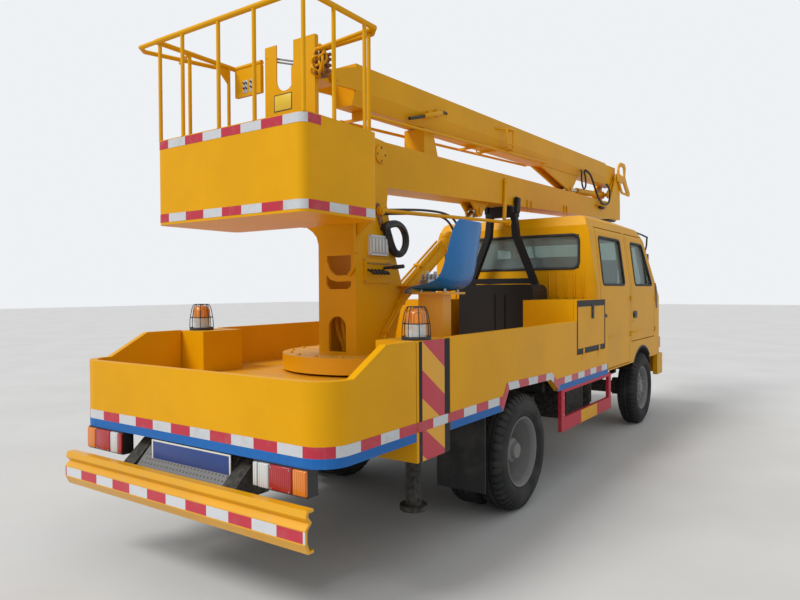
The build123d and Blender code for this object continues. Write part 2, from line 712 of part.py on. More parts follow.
def front_jack(side):
    y = side * FRONT_JACK_Y
    leg = cylinder_between((FRONT_JACK_X, y, JACK_FOOT_Z + 5), (FRONT_JACK_X, y, RAIL_Z1 + 80), JACK_R)
    foot = cylinder_between((FRONT_JACK_X, y, JACK_FOOT_Z), (FRONT_JACK_X, y, JACK_FOOT_Z + JACK_FOOT_THICK), JACK_FOOT_R)
    return leg + foot


def beacon(side):
    """Amber dome on a white drum, in a wire guard on the jack box."""
    x, y = JACK_X - 37, side * (DECK_HALF - 83)
    base = cylinder_between((x, y, TOWER_Z1), (x, y, TOWER_Z1 + 12), 78)
    drum = cylinder_between((x, y, TOWER_Z1 + 10), (x, y, TOWER_Z1 + 88), 52)
    dome = cylinder_between((x, y, TOWER_Z1 + 85), (x, y, TOWER_Z1 + 165), 56)
    dome = fillet(dome.edges().group_by(Axis.Z)[-1], 40)
    return join([base, drum, dome])


# Turntable and turret

def slew_base():
    return Pos(SLEW_X, 0, (RAIL_Z1 + DISC_Z0 - SEAT_GAP) / 2) * Cylinder(SLEW_BASE_R, DISC_Z0 - SEAT_GAP - RAIL_Z1)


def turntable_disc():
    return Pos(SLEW_X, 0, (DISC_Z0 + DISC_Z1) / 2) * Cylinder(SLEW_R, DISC_Z1 - DISC_Z0)


def turret():
    """Two upright side plates joined by the rear plate, with pins for boom and cylinder."""
    sides = both_sides(side_plate(TURRET_SIDE, PLATE_IN, PLATE_OUT))
    rear = box(TURRET_X0, TURRET_X0 + TURRET_WALL, -PLATE_OUT, PLATE_OUT, DISC_Z1, 2030)
    window = front_plate(((-117, 1572), (-117, 1700), (82, 1700), (82, 1663), (60, 1610), (30, 1583), (4, 1572)),
                         TURRET_X0 - 5, TURRET_X0 + TURRET_WALL + 5)
    slot = front_plate(((-117, 1535), (0, 1532), (56, 1546), (88, 1579), (88, 1510), (62, 1484), (-92, 1484), (-117, 1505)),
                       TURRET_X0 - 5, TURRET_X0 + TURRET_WALL + 5)
    door = box(TURRET_X0 - 5, TURRET_X0 + TURRET_WALL + 5, -72, 72, 1080, 1240)
    arch = cylinder_between((TURRET_X0 - 5, 0, 1236), (TURRET_X0 + TURRET_WALL + 5, 0, 1236), 72)
    rear = rear - window - slot - door - arch
    boom_pin = pin(LUFF_X, LUFF_Z, -PLATE_OUT - 8, PLATE_OUT + 8, LUFF_PIN_R)
    base_pin = pin(LIFT_BASE[0], LIFT_BASE[1], -PLATE_OUT, PLATE_OUT, LIFT_PIN_R)
    link_pin = pin(LINK_BASE[0], LINK_BASE[1], -PLATE_IN, LINK_Y - LINK_R - 10, CRANK_PIN_R)
    return [join(sides + [rear, boom_pin, base_pin, link_pin])] + both_sides(turret_wing())


def turret_wing():
    """Curved plate that widens the rear plate under the parked basket."""
    y = PLATE_OUT + SEAT_GAP
    outline = ((y, WING_Z[0]), (y + 15, WING_Z[0] + 50), (y + 50, WING_Z[1] - 43), (y + 100, WING_Z[1] - 12),
               (WING_OUT, WING_Z[1]), (WING_OUT, WING_Z[2]), (y, WING_Z[2]))
    return front_plate(outline, TURRET_X0, TURRET_X0 + TURRET_WALL)


def control_box():
    return box(-694, -496, -PLATE_OUT - CONTROL_DEPTH, -PLATE_OUT, 1704, 1836)


def control_levers():
    bank = box(-740, -460, -PLATE_OUT - LEVER_BANK, -PLATE_OUT, 1524, 1680)
    levers = []
    for number in range(5):
        x = -705 + number * 38
        levers.append(cylinder_between((x, -PLATE_OUT - 5, 1612), (x, -PLATE_OUT - 52, 1590), 7))
    handle = cylinder_between((-530, -PLATE_OUT - 5, 1622), (-500, -PLATE_OUT - 150, 1632), 10)
    return join([bank] + levers + [handle])


def seat_pedestal():
    """Upright plates from the turntable that carry the operator's seat."""
    post = box(-410, -305, -550, -360, DISC_Z1, SEAT_PAN_Z - 30)
    top = box(-440, -200, -600, -330, SEAT_PAN_Z - 34, SEAT_PAN_Z - 20)
    return post + top


def operator_seat():
    """A moulded shell: its pan faces the left side, its back rises at the right."""
    x0, x1 = -500, -80
    z = SEAT_PAN_Z - 20
    pan = box(x0, x1, -650, -300, z, z + 18)
    back = front_plate(((-640, z), (-660, z + 40), (-700, 1930), (-684, 1932), (-640, z + 60), (-600, z + 18), (-600, z)), x0, x1)
    cheeks = [box(x, x + 14, -660, -560, z, z + 160) for x in (x0, x1 - 14)]
    return join([pan, back] + cheeks)


# Lift cylinder

def along(a, b, distance, y=0):
    """A point on the line from a to b, both (x, z), at a distance from a."""
    length = math.dist(a, b)
    share = distance / length
    return (a[0] + (b[0] - a[0]) * share, y, a[1] + (b[1] - a[1]) * share)


def barrel(base, eye, pin_r, barrel_r, rod_r, length):
    ring = pin(base[0], base[1], -EYE_HALF, EYE_HALF, pin_r + EYE_RING)
    body = cylinder_between(along(base, eye, pin_r + EYE_RING / 2), along(base, eye, length), barrel_r)
    hole = pin(base[0], base[1], -EYE_HALF - 60, EYE_HALF + 60, pin_r + RUN_FIT)
    bore = cylinder_between(along(base, eye, pin_r + EYE_RING + 40), along(base, eye, length + 5), rod_r + RUN_FIT)
    return ring + body - hole - bore


def piston_rod(base, eye, pin_r, rod_r):
    reach = math.dist(base, eye)
    rod = cylinder_between(along(base, eye, pin_r + EYE_RING + 60), along(base, eye, reach - pin_r), rod_r)
    head = pin(eye[0], eye[1], -EYE_HALF, EYE_HALF, pin_r + EYE_RING)
    hole = pin(eye[0], eye[1], -EYE_HALF - 5, EYE_HALF + 5, pin_r)
    return rod + head - hole


# Lower boom

def boom_section_outline(x0, x1, inset=0):
    return (
        (x0, line_at(BOOM_BOTTOM, x0) + inset), (x1, line_at(BOOM_BOTTOM, x1) + inset),
        (x1, line_at(BOOM_TOP, x1) - inset), (x0, line_at(BOOM_TOP, x0) - inset),
    )


def lower_beam():
    """The tapered box beam of the lower boom, hollow but for its tail."""
    beam = side_plate(boom_section_outline(BOOM_TAIL_X, BOOM_X1), -BOOM_HALF, BOOM_HALF)
    beam -= side_plate(boom_section_outline(BOOM_TAIL_X + 300, BOOM_X1 - BOOM_WALL, BOOM_WALL),
                       -BOOM_HALF + BOOM_WALL, BOOM_HALF - BOOM_WALL)
    for side in (-1, 1):
        beam -= side_plate(cheek_outline(), side * (CHEEK_IN - SEAT_GAP), side * (BOOM_HALF + 1))
    crank_x, crank_z = crank_pivot()
    beam += pin(crank_x, crank_z, -BOOM_HALF + 2, -BOOM_HALF - 26, CRANK_PIN_R)
    return beam - pin(LUFF_X, LUFF_Z, -BOOM_HALF - 5, BOOM_HALF + 5, LUFF_PIN_R + RUN_FIT)


def cheek_outline():
    low = line_at(BOOM_TOP, ELBOW_X) - 20
    return ((ELBOW_X - 370, low), (ELBOW_X - CHEEK_R, ELBOW_Z), (ELBOW_X + CHEEK_R, ELBOW_Z), (BOOM_X1, low))


def elbow_cheek(side):
    """Upright plate on the boom's front end, with the bore of the elbow's pin."""
    plate = side_plate(cheek_outline(), side * CHEEK_IN, side * BOOM_HALF)
    plate += pin(ELBOW_X, ELBOW_Z, side * CHEEK_IN, side * BOOM_HALF, CHEEK_R)
    return plate - pin(ELBOW_X, ELBOW_Z, -BOOM_HALF - 5, BOOM_HALF + 5, ELBOW_PIN_R + RUN_FIT)


def lift_lug(side):
    """Plate below the boom, with a short pin for the lift cylinder's eye."""
    x, z = LIFT_EYE
    y0 = side * (EYE_HALF + MOVE_GAP)
    y1 = y0 + side * 22
    rear, front = (line_at(BOOM_BOTTOM, at) - SEAT_GAP for at in (x - 150, x + 150))
    return join([
        side_plate(((x - 150, rear), (x - 50, z - 10), (x + 50, z - 10), (x + 150, front)), y0, y1),
        pin(x, z, y0, y1, 52),
        pin(x, z, y1 - side * 2, y1 + side * 12, LIFT_PIN_R),
    ])


def rest_block():
    """Support on the lower boom on which the upper boom lies when folded."""
    rear, front = (line_at(BOOM_TOP, x) + SEAT_GAP for x in (REST_X0, REST_X1))
    outline = ((REST_X0, rear), (REST_X1, front), (REST_TOP_X1, REST_TOP), (REST_X0, REST_TOP))
    return side_plate(outline, -REST_BLOCK_HALF, REST_BLOCK_HALF)


def lower_boom():
    plates = [elbow_cheek(side) for side in (-1, 1)] + [lift_lug(side) for side in (-1, 1)]
    return [lower_beam(), rest_block()] + plates


def crank_pivot():
    """On the boom's side, so that link, crank, boom and turret make a parallelogram."""
    x = LUFF_X + LINK_LENGTH_X
    return (x, line_at(BOOM_TOP, x) - 70)


def link_end():
    x, z = crank_pivot()
    return (x + LINK_BASE[0] - LUFF_X, z + LINK_BASE[1] - LUFF_Z)


def levelling_link():
    x1, z1 = link_end()
    x0, z0 = LINK_BASE
    rod = cylinder_between((x0, LINK_Y, z0), (x1, LINK_Y, z1), LINK_R)
    eyes = [pin(x, z, LINK_Y - LINK_R, LINK_Y + LINK_R, CRANK_PIN_R + 14) for x, z in (LINK_BASE, link_end())]
    holes = [pin(x, z, LINK_Y - 40, LINK_Y + 40, CRANK_PIN_R + RUN_FIT) for x, z in (LINK_BASE, link_end())]
    return join([rod] + eyes) - holes[0] - holes[1]


def levelling_crank():
    top = crank_pivot()
    foot = link_end()
    y0, y1 = -BOOM_HALF - MOVE_GAP, -BOOM_HALF - MOVE_GAP - 16
    web = side_plate(((top[0] - 26, top[1]), (top[0] + 26, top[1]), (foot[0] + 22, foot[1]), (foot[0] - 22, foot[1])), y0, y1)
    plate = join([web, pin(top[0], top[1], y0, y1, 34), pin(foot[0], foot[1], y0, y1, 28)])
    plate -= pin(top[0], top[1], y0 + 5, y1 - 5, CRANK_PIN_R + RUN_FIT)
    return plate + pin(foot[0], foot[1], y0, LINK_Y - LINK_R - 6, CRANK_PIN_R)


# Elbow

def elbow():
    """Level knee between the booms: two plates, the elbow pin, cylinder pin and hooked lever."""
    x, z = ELBOW_X, ELBOW_Z
    gx, gz = ARM_BASE
    plate = join([
        side_plate(((gx - 40, gz - 20), (gx + 10, gz - 48), (x + 40, z - 50), (x, z + 55), (gx - 20, gz + 40)), KNEE_IN, KNEE_OUT),
        pin(x, z, KNEE_IN, KNEE_OUT, 58),
        pin(gx, gz, KNEE_IN, KNEE_OUT, 46),
    ])
    elbow_pin = pin(x, z, -LEVER_OUT, BOOM_HALF + 10, ELBOW_PIN_R)
    arm_pin = pin(gx, gz, -KNEE_OUT, KNEE_OUT, ARM_PIN_R)
    y0, y1 = -BOOM_HALF - MOVE_GAP, -LEVER_OUT
    lever = join([
        side_plate([(x + a, z + b) for a, b in LEVER_OUTLINE], y0, y1)
        - side_plate([(x + a, z + b) for a, b in LEVER_EYE], y0 + 5, y1 - 5),
        box(x + 120, HOOK_TIP_X - 20, y0, y1, z - 168, z - 142),
        side_plate(((x - 10, z - 40), (x + 40, z - 30), (x + 150, z - 142), (x + 120, z - 168)), y0, y1),
    ])
    return join(both_sides(plate) + [elbow_pin, arm_pin, lever])


# Upper boom

def upper_point(x, offset):
    """The (x, z) of a point at a height off the upper boom's centre line."""
    return (x, line_at(UPPER_AXIS, x) + offset)


def upper_boom():
    """Six-sided box beam, narrowed to a tongue at the elbow, with fork plates at the basket."""
    half = UPPER_DEPTH / 2
    x0, x1 = UPPER_AXIS[0][0], UPPER_AXIS[1][0]
    lip = -half + 95
    side_view = (upper_point(x0, -half), upper_point(x1, -half), upper_point(x1, half), upper_point(x0, half))
    blank = side_plate(side_view, -UPPER_HALF, UPPER_HALF)
    edge = side_plate((upper_point(x0 - 20, -half - 5), upper_point(x1 + 20, -half - 5), upper_point(x1 + 20, lip),
                       upper_point(x0 - 20, lip)), -UPPER_HALF - 10, UPPER_HALF + 10)
    rise = UPPER_AXIS[1][1] - UPPER_AXIS[0][1]
    low = line_at(UPPER_AXIS, x0) - half
    section = ((-UPPER_FOOT_HALF, low), (UPPER_FOOT_HALF, low), (UPPER_HALF, low + 95), (UPPER_HALF, low + 400),
               (-UPPER_HALF, low + 400), (-UPPER_HALF, low + 95))
    plane = Plane(origin=(x0, 0, 0), x_dir=(0, 1, 0), z_dir=(1, 0, 0))
    way = Vector(x1 - x0, 0, rise)
    prism = extrude(plane * make_face(Polyline(*section, close=True)), amount=way.length, dir=way.normalized())
    beam = blank & prism
    for side in (-1, 1):
        beam -= box(UPPER_TONGUE_X, x1 + 50, side * TONGUE_HALF, side * 300, 2000, 4000)
    beam = beam + pin(ELBOW_X, ELBOW_Z, -TONGUE_HALF, TONGUE_HALF, 70)
    core = side_plate((upper_point(x0 + 12, -half + 12), upper_point(UPPER_TONGUE_X - 40, -half + 12),
                       upper_point(UPPER_TONGUE_X - 40, half - 12), upper_point(x0 + 12, half - 12)),
                      -UPPER_FOOT_HALF + 12, UPPER_FOOT_HALF - 12)
    beam -= core
    fork = side_plate((upper_point(x0 + 60, -half + 95), (BASKET_PIN_X, BASKET_PIN_Z - 50), (BASKET_PIN_X, BASKET_PIN_Z + 50),
                       upper_point(x0 + 60, half - 5)), UPPER_HALF - 18, UPPER_HALF)
    fork = fork + pin(BASKET_PIN_X, BASKET_PIN_Z, UPPER_HALF - 18, UPPER_HALF, 50)
    feet = [(x, line_at(UPPER_AXIS, x) - half + 4) for x in (ARM_EYE[0] - 900, ARM_EYE[0] + 260)]
    y0, y1 = EYE_HALF + MOVE_GAP, EYE_HALF + MOVE_GAP + 20
    lug = join([
        side_plate((feet[0], (ARM_EYE[0] - 30, ARM_EYE[1] - 32), (ARM_EYE[0] + 30, ARM_EYE[1] - 32), feet[1]), y0, y1),
        pin(ARM_EYE[0], ARM_EYE[1], y0, y1, 42),
        pin(ARM_EYE[0], ARM_EYE[1], y1 - 2, y1 + 12, ARM_PIN_R),
    ])
    whole = join([beam] + both_sides(fork) + both_sides(lug) + tie_rods())
    whole -= pin(ELBOW_X, ELBOW_Z, -BOOM_HALF - 5, BOOM_HALF + 5, ELBOW_PIN_R + RUN_FIT)
    whole -= pin(BASKET_PIN_X, BASKET_PIN_Z, -BOOM_HALF - 5, BOOM_HALF + 5, BASKET_PIN_R + RUN_FIT)
    return whole


def tie_rods():
    """Thin levelling rods under the upper boom, with the hangers that carry them."""
    (x0, z0), (x1, z1) = TIE_ENDS
    rods = both_sides(cylinder_between((x0, TIE_Y, z0), (x1, TIE_Y, z1), TIE_R))
    hangers = []
    for x in TIE_HANGERS + (x1 - 20,):
        z = line_at(TIE_ENDS, x)
        top = line_at(UPPER_AXIS, x) - UPPER_DEPTH / 2
        hangers.append(box(x - 12, x + 12, -TIE_Y, TIE_Y, z - 8, z + 8))
        hangers.append(box(x - 12, x + 12, -50, 50, z, top + 13))
    return rods + hangers


# Basket

def basket_tub():
    outer = flat_plate(TUB_X0, TUB_X1, TUB_HALF, TUB_Z0, TUB_Z1, TUB_CORNER, TUB_CORNER)
    inner = flat_plate(TUB_X0 + TUB_WALL, TUB_X1 - TUB_WALL, TUB_HALF - TUB_WALL, TUB_Z0 + TUB_WALL, TUB_Z1 + 5,
                       TUB_CORNER - TUB_WALL, TUB_CORNER - TUB_WALL)
    return outer - inner


def basket_rails():
    """Posts and the top rail, with the wide loop at the left and the double rail in front."""
    post_in = TUB_WALL / 2
    xr, xf = TUB_X0 + post_in, TUB_X1 - post_in
    y = TUB_HALF - post_in
    bend = 60
    turn = (TUB_CORNER - post_in) * (1 - math.sqrt(0.5))
    corner_posts = [(xr + turn, y - turn), (xr + turn, -y + turn)]
    rear_posts = [(xr, at) for at in (337, 38, -234)]
    side_posts = [(xf - 364, -y), (xf - 110, -y), (xf - 356, y), (xf - TUB_CORNER, y)]
    front_posts = [(xf, -y + TUB_CORNER)]
    pieces = [cylinder_between((px, py, TUB_Z1), (px, py, RAIL_TOP), POST_R)
              for px, py in corner_posts + rear_posts + side_posts + front_posts]
    rail = [(xf, SLOT_PLATE_Y1 + 20), (xf, y), (xr, y), (xr, -y + bend), (xr + bend, -y), (xf - 20, -y),
            (xf + 40, -y + bend), (COLUMN_X1 + SEAT_GAP + RAIL_R, COLUMN_Y[0] - 30)]
    pieces.append(tube_path([(px, py, RAIL_TOP) for px, py in rail], RAIL_R))
    inner = [(xf - 20, -y, RAIL_TOP), (xf - 12, COLUMN_Y[0] - 30, RAIL_TOP - 24), (xf + 38, COLUMN_Y[0] - 30, RAIL_TOP)]
    pieces.append(tube_path(inner, RAIL_R - 3))
    loop = [(xr, y), (xr, y + 150), (xr + 55, y + 195), (xf - 110, y + 70), (xf - 75, y)]
    pieces.append(tube_path([(px, py, RAIL_TOP) for px, py in loop], RAIL_R - 2))
    return join(pieces)


def basket_mount():
    """Upright channel on the tub's front face with the bracket and pin for the boom."""
    column = box(TUB_X1, COLUMN_X1, COLUMN_Y[0], COLUMN_Y[1], TUB_Z0, COLUMN_TOP)
    half = UPPER_HALF - 24
    foot = box(TUB_X1, COLUMN_X1, -half, half, BASKET_PIN_Z - 150, BASKET_PIN_Z + 45)
    bracket = box(COLUMN_X1 - 5, BASKET_PIN_X, -half, half, BASKET_PIN_Z - 45, BASKET_PIN_Z + 45)
    boss = pin(BASKET_PIN_X, BASKET_PIN_Z, -half, half, 45)
    mount_pin = pin(BASKET_PIN_X, BASKET_PIN_Z, -UPPER_HALF - 6, UPPER_HALF + 6, BASKET_PIN_R)
    return [join([column, foot, bracket, boss, mount_pin, slot_plate()]), basket_panel()]


def slot_plate():
    """Upright plate beside the column, with a round-bottomed slot open at its top."""
    x0, x1 = TUB_X1, TUB_X1 + SLOT_PLATE_THICK
    plate = box(x0, x1, COLUMN_Y[1] - 1, SLOT_PLATE_Y1, TUB_Z1 - 60, COLUMN_TOP)
    middle = sum(SLOT_Y) / 2
    radius = (SLOT_Y[1] - SLOT_Y[0]) / 2
    plate -= box(x0 - 5, x1 + 5, SLOT_Y[0], SLOT_Y[1], SLOT_Z + radius, COLUMN_TOP + 5)
    plate -= cylinder_between((x0 - 5, middle, SLOT_Z + radius), (x1 + 5, middle, SLOT_Z + radius), radius)
    lip = box(x0, x0 + 40, SLOT_PLATE_Y1 - 6, SLOT_PLATE_Y1, TUB_Z1 + 20, COLUMN_TOP)
    return plate + lip


def basket_panel():
    """Control panel hung under the front rail."""
    x1 = TUB_X1 - TUB_WALL / 2 + PANEL_THICK / 2
    z1 = RAIL_TOP - RAIL_R - SEAT_GAP
    return box(x1 - PANEL_THICK, x1, PANEL_Y0, TUB_HALF - 20, PANEL_Z0, z1)


# Cab

def from_front_axle(outline):
    return [(WHEELBASE + x, z) for x, z in outline]


def cab_volume(inset):
    """The cab's outer body, or the body that lies an inset within it, above the floor."""
    mirrored = tuple((-y, z) for y, z in reversed(CAB_FRONT))
    side = make_face(Polyline(*from_front_axle(CAB_SIDE), close=True))
    front = make_face(Polyline(*(CAB_FRONT + mirrored), close=True))
    if inset:
        side = offset(side, -inset, kind=Kind.INTERSECTION)
        front = offset(front, -inset, kind=Kind.INTERSECTION)
    side_plane = Plane(origin=(0, -CAB_HALF - 5, 0), x_dir=(1, 0, 0), z_dir=(0, -1, 0))
    front_plane = Plane(origin=(CAB_X0 - 50, 0, 0), x_dir=(0, 1, 0), z_dir=(1, 0, 0))
    volume = extrude(side_plane * side, amount=-2 * CAB_HALF - 10)
    volume &= extrude(front_plane * front, amount=CAB_X1 - CAB_X0 + 100)
    plan = flat_plate(CAB_X0 + inset, CAB_X1 - inset, CAB_HALF - inset, 0, CAB_ROOF_Z + 100, CAB_REAR_CORNER - inset * 0.5,
                      CAB_FRONT_CORNER - inset)
    volume &= plan
    if inset:
        volume &= box(CAB_X0, CAB_X1, -CAB_HALF, CAB_HALF, CAB_FLOOR_Z + CAB_FLOOR_THICK, CAB_ROOF_Z)
    return volume


def side_window(outline, side, grow):
    """An outline on the cab's side as a block through the side's whole depth."""
    face = make_face(Polyline(*from_front_axle(outline), close=True))
    if grow:
        face = offset(face, grow, kind=Kind.INTERSECTION)
    plane = Plane(origin=(0, 0, 0), x_dir=(1, 0, 0), z_dir=(0, -1, 0))
    return extrude(plane * face, amount=-side * (CAB_HALF + 50))


def door_zone(side, gap):
    """The outer part of the cab's side: the whole wall, but nothing of the floor beside it."""
    outer = side * (CAB_HALF + 50)
    zone = box(CAB_X0 - 50, CAB_X1 + 50, side * (CAB_HALF - DOOR_DEPTH), outer, 0, CAB_ROOF_Z + 100)
    floor = box(CAB_X0 - 60, CAB_X1 + 60, 0, side * (CAB_HALF - CAB_WALL - gap), 0, CAB_FLOOR_Z + CAB_FLOOR_THICK + gap)
    return zone - floor


def cab_walls():
    outer = cab_volume(0)
    half = CAB_HALF - CAB_WALL
    under = box(CAB_X0 - 50, CAB_X1 + 50, -half, half, 0, CAB_FLOOR_Z)
    return outer - cab_volume(CAB_WALL) - under


def cab_shell(walls):
    shell = walls
    for side in (-1, 1):
        for outline in (REAR_DOOR, FRONT_DOOR):
            shell -= side_window(outline, side, DOOR_GAP) & door_zone(side, DOOR_GAP)
        shell -= pin(WHEELBASE, TYRE_R, side * (CAB_HALF - CAB_WALL - 5), side * (CAB_HALF + 5), WELL_R)
    shell -= rear_window_region(0)
    shell -= windshield_region(0)
    for lamp in headlamps(SEAT_GAP):
        shell -= lamp
    for side in (-1, 1):
        for row in DOOR_HINGE_X:
            for z in DOOR_HINGE_Z:
                shell += pillar_hinge(row, side, z)
    return shell


def pillar_hinge(row, side, z):
    """Leaf on the pillar with two knuckles and the pin that a cab door turns on."""
    x, y = DOOR_HINGE_X[row], side * DOOR_HINGE_Y
    third = DOOR_HINGE_HALF / 3
    leaf = box(x, x + DOOR_HINGE_REACH, side * (CAB_HALF - 1), side * (CAB_HALF + HINGE_LEAF), z - DOOR_HINGE_HALF,
               z + DOOR_HINGE_HALF)
    knuckles = [cylinder_between((x, y, z + a), (x, y, z + b), HINGE_R)
                for a, b in ((-DOOR_HINGE_HALF, -third - SEAT_GAP), (third + SEAT_GAP, DOOR_HINGE_HALF))]
    core = cylinder_between((x, y, z - DOOR_HINGE_HALF), (x, y, z + DOOR_HINGE_HALF), HINGE_PIN_R)
    reach = HINGE_R + 1
    room = box(x - reach, x + reach, side * CAB_HALF, side * (CAB_HALF + HINGE_LEAF + 1), z - third - SEAT_GAP,
               z + third + SEAT_GAP)
    return join([leaf - room] + knuckles + [core])


def door_hinge(row, side, z):
    """Leaf and middle knuckle of a cab door's hinge, bored for the pin."""
    x, y = DOOR_HINGE_X[row], side * DOOR_HINGE_Y
    third = DOOR_HINGE_HALF / 3
    leaf = box(x - DOOR_HINGE_REACH - 30, x, side * (CAB_HALF - 1), side * (CAB_HALF + HINGE_LEAF), z - third, z + third)
    inner = box(x - 32, x + 1, side * (CAB_HALF - 2), side * CAB_HALF, z - third - 1, z + third + 1)
    knuckle_piece = cylinder_between((x, y, z - third), (x, y, z + third), HINGE_R)
    bore = cylinder_between((x, y, z - third - 1), (x, y, z + third + 1), HINGE_PIN_R + RUN_FIT)
    return join([leaf - inner, knuckle_piece]), bore


def rear_window_region(inset):
    half = CAB_HALF - 150 - inset
    return box(CAB_X0 - 140, CAB_X0 + 210, -half, half, 1665 + inset, 1975 - inset)


def windshield_region(inset):
    a, b = from_front_axle(WINDSHIELD)
    way = Vector(b[0] - a[0], 0, b[1] - a[1])
    normal = Vector(-way.Z, 0, way.X).normalized()
    middle = Vector((a[0] + b[0]) / 2, 0, (a[1] + b[1]) / 2)
    plane = Plane(origin=middle - normal * 150, x_dir=(0, 1, 0), z_dir=normal)
    return extrude(plane * Rectangle(2 * (CAB_HALF - 150 - inset), way.length - 2 * inset), amount=300)


def glass_layer():
    return cab_volume(GLASS_INSET) - cab_volume(GLASS_INSET + GLASS_THICK)


def cab_door(walls, row, outline, pane, side):
    door = walls & side_window(outline, side, 0) & door_zone(side, 0)
    door -= side_window(pane, side, 0)
    for z in DOOR_HINGE_Z:
        leaf, bore = door_hinge(row, side, z)
        door = door + leaf - bore
    return door


def door_glass(layer, pane, side):
    return layer & side_window(pane, side, -SEAT_GAP) & door_zone(side, 0)


def cab_seats():
    """Front and rear benches on their boxes."""
    z = CAB_FLOOR_Z + CAB_FLOOR_THICK
    half = CAB_HALF - 160
    benches = []
    for x0, x1 in ((WHEELBASE - 1510, WHEELBASE - 980), (WHEELBASE - 500, WHEELBASE + 60)):
        base = box(x0 + 60, x1, -half, half, z, 1230)
        back = box(x0, x0 + 120, -half, half, z + 260, 1780)
        benches.append(join([base, back]))
    return benches


def dashboard():
    outline = from_front_axle(((440, 1000), (380, 1280), (440, 1400), (680, 1330), (730, 1000)))
    half = CAB_HALF - 110
    panel = side_plate(outline, -half, half)
    ends = both_sides(box(WHEELBASE + 590, WHEELBASE + 670, half - 10, CAB_HALF - CAB_WALL - SEAT_GAP, 1050, 1280))
    return join([panel] + ends)


def steering_wheel():
    hub = (WHEELBASE + 200, 360, 1420)
    column = cylinder_between((WHEELBASE + 440, 360, 1180), hub, 24)
    plane = Plane(origin=hub, z_dir=(-1, 0, 1))
    wheel = plane * (Torus(195, 15) + Box(380, 36, 16) + Cylinder(45, 30))
    return column + wheel


def grille():
    """Slatted panel below the windscreen, seated on the cab's sloping front."""
    top, foot = from_front_axle(CAB_SIDE)[9:11]
    z0, z1 = GRILLE_Z
    rear = [top[0] + (foot[0] - top[0]) * (z - top[1]) / (foot[1] - top[1]) + SEAT_GAP for z in (z0, z1)]
    outline = ((rear[0], z0), (rear[0] + GRILLE_THICK, z0), (rear[1] + GRILLE_THICK, z1), (rear[1], z1))
    panel = side_plate(outline, -GRILLE_HALF, GRILLE_HALF)
    pitch = (z1 - z0) / (GRILLE_SLOTS + 0.5)
    for number in range(GRILLE_SLOTS):
        z = z0 + pitch * (number + 0.5)
        for side in (-1, 1):
            panel -= box(rear[1] - 10, rear[0] + 2 * GRILLE_THICK, side * 25, side * (GRILLE_HALF - 30), z, z + pitch / 2)
    return panel


def exhaust():
    """Silencer between the rails with its pipes and the bracket to the right rail."""
    x0, x1 = EXHAUST_X
    z = EXHAUST_Z
    drum = cylinder_between((x0, EXHAUST_Y, z), (x1, EXHAUST_Y, z), EXHAUST_R)
    pipe = cylinder_between((x0 - 1000, EXHAUST_Y, z), (x1 + 500, EXHAUST_Y, z), EXHAUST_PIPE_R)
    reach = RAIL_Y - RAIL_WIDTH / 2 - SEAT_GAP
    hanger = box(x0 + 250, x0 + 300, -reach, EXHAUST_Y, z + EXHAUST_R - 25, RAIL_Z0 + 40)
    return join([drum, pipe, hanger])


def front_bumper():
    x1 = BUMPER_FRONT
    outer = flat_plate(x1 - 380, x1, CAB_HALF + 5, 460, 695, 0, 150)
    inner = flat_plate(x1 - 400, x1 - 110, CAB_HALF - 45, 450, 705, 0, 100)
    arms = both_sides(box(RAIL_X1, x1 - 70, RAIL_Y - 25, RAIL_Y + 25, 530, 660))
    x, y, z = TOW_SOCKET
    socket = cylinder_between((x - TOW_SOCKET_DEPTH, y, z), (x + 5, y, z), TOW_SOCKET_R)
    return join([outer - inner] + arms) - socket


def headlamps(grow=0):
    lamp = box(LAMP_X0 - grow, LAMP_X1, LAMP_Y[0] - grow, LAMP_Y[1] + grow, LAMP_Z[0] - grow, LAMP_Z[1] + grow)
    return both_sides(lamp)


def mirrors():
    """Each mirror hangs in front of the windscreen's corner from a bent tube on the roof's edge."""
    outline = from_front_axle(CAB_SIDE)
    (x0, z0), (x1, z1) = outline[5], outline[6]
    way = Vector(x1 - x0, 0, z1 - z0).normalized()
    normal = Vector(-way.Z, 0, way.X)
    y = CAB_HALF - 150
    root = Vector((x0 + x1) / 2, y, (z0 + z1) / 2)
    if normal.Z < 0:
        normal = -normal
    foot = root + normal * SEAT_GAP
    knee = root + normal * 36
    points = [knee, Vector(WHEELBASE + 560, y + 5, 2112), Vector(WHEELBASE + 690, y + 30, 2090),
              Vector(WHEELBASE + 705, y + 20, 1990), Vector(WHEELBASE + 705, y - 8, 1880)]
    tube = tube_path([(p.X, p.Y, p.Z) for p in points], MIRROR_TUBE_R)
    boss = cylinder_between((foot.X, foot.Y, foot.Z), (knee.X, knee.Y, knee.Z), 2 * MIRROR_TUBE_R)
    head = box(WHEELBASE + 688, WHEELBASE + 722, y - 62, y + 42, 1715, 1890)
    return both_sides(join([boss, tube, head]))


def save(name, pieces):
    if not isinstance(pieces, list):
        pieces = [pieces]
    solids = []
    for piece in pieces:
        solids += (Pos(X_SHIFT, 0, 0) * piece).solids()
    shape = solids[0] if len(solids) == 1 else Compound(children=solids)
    export_step(shape, f"parts/{name}.step")


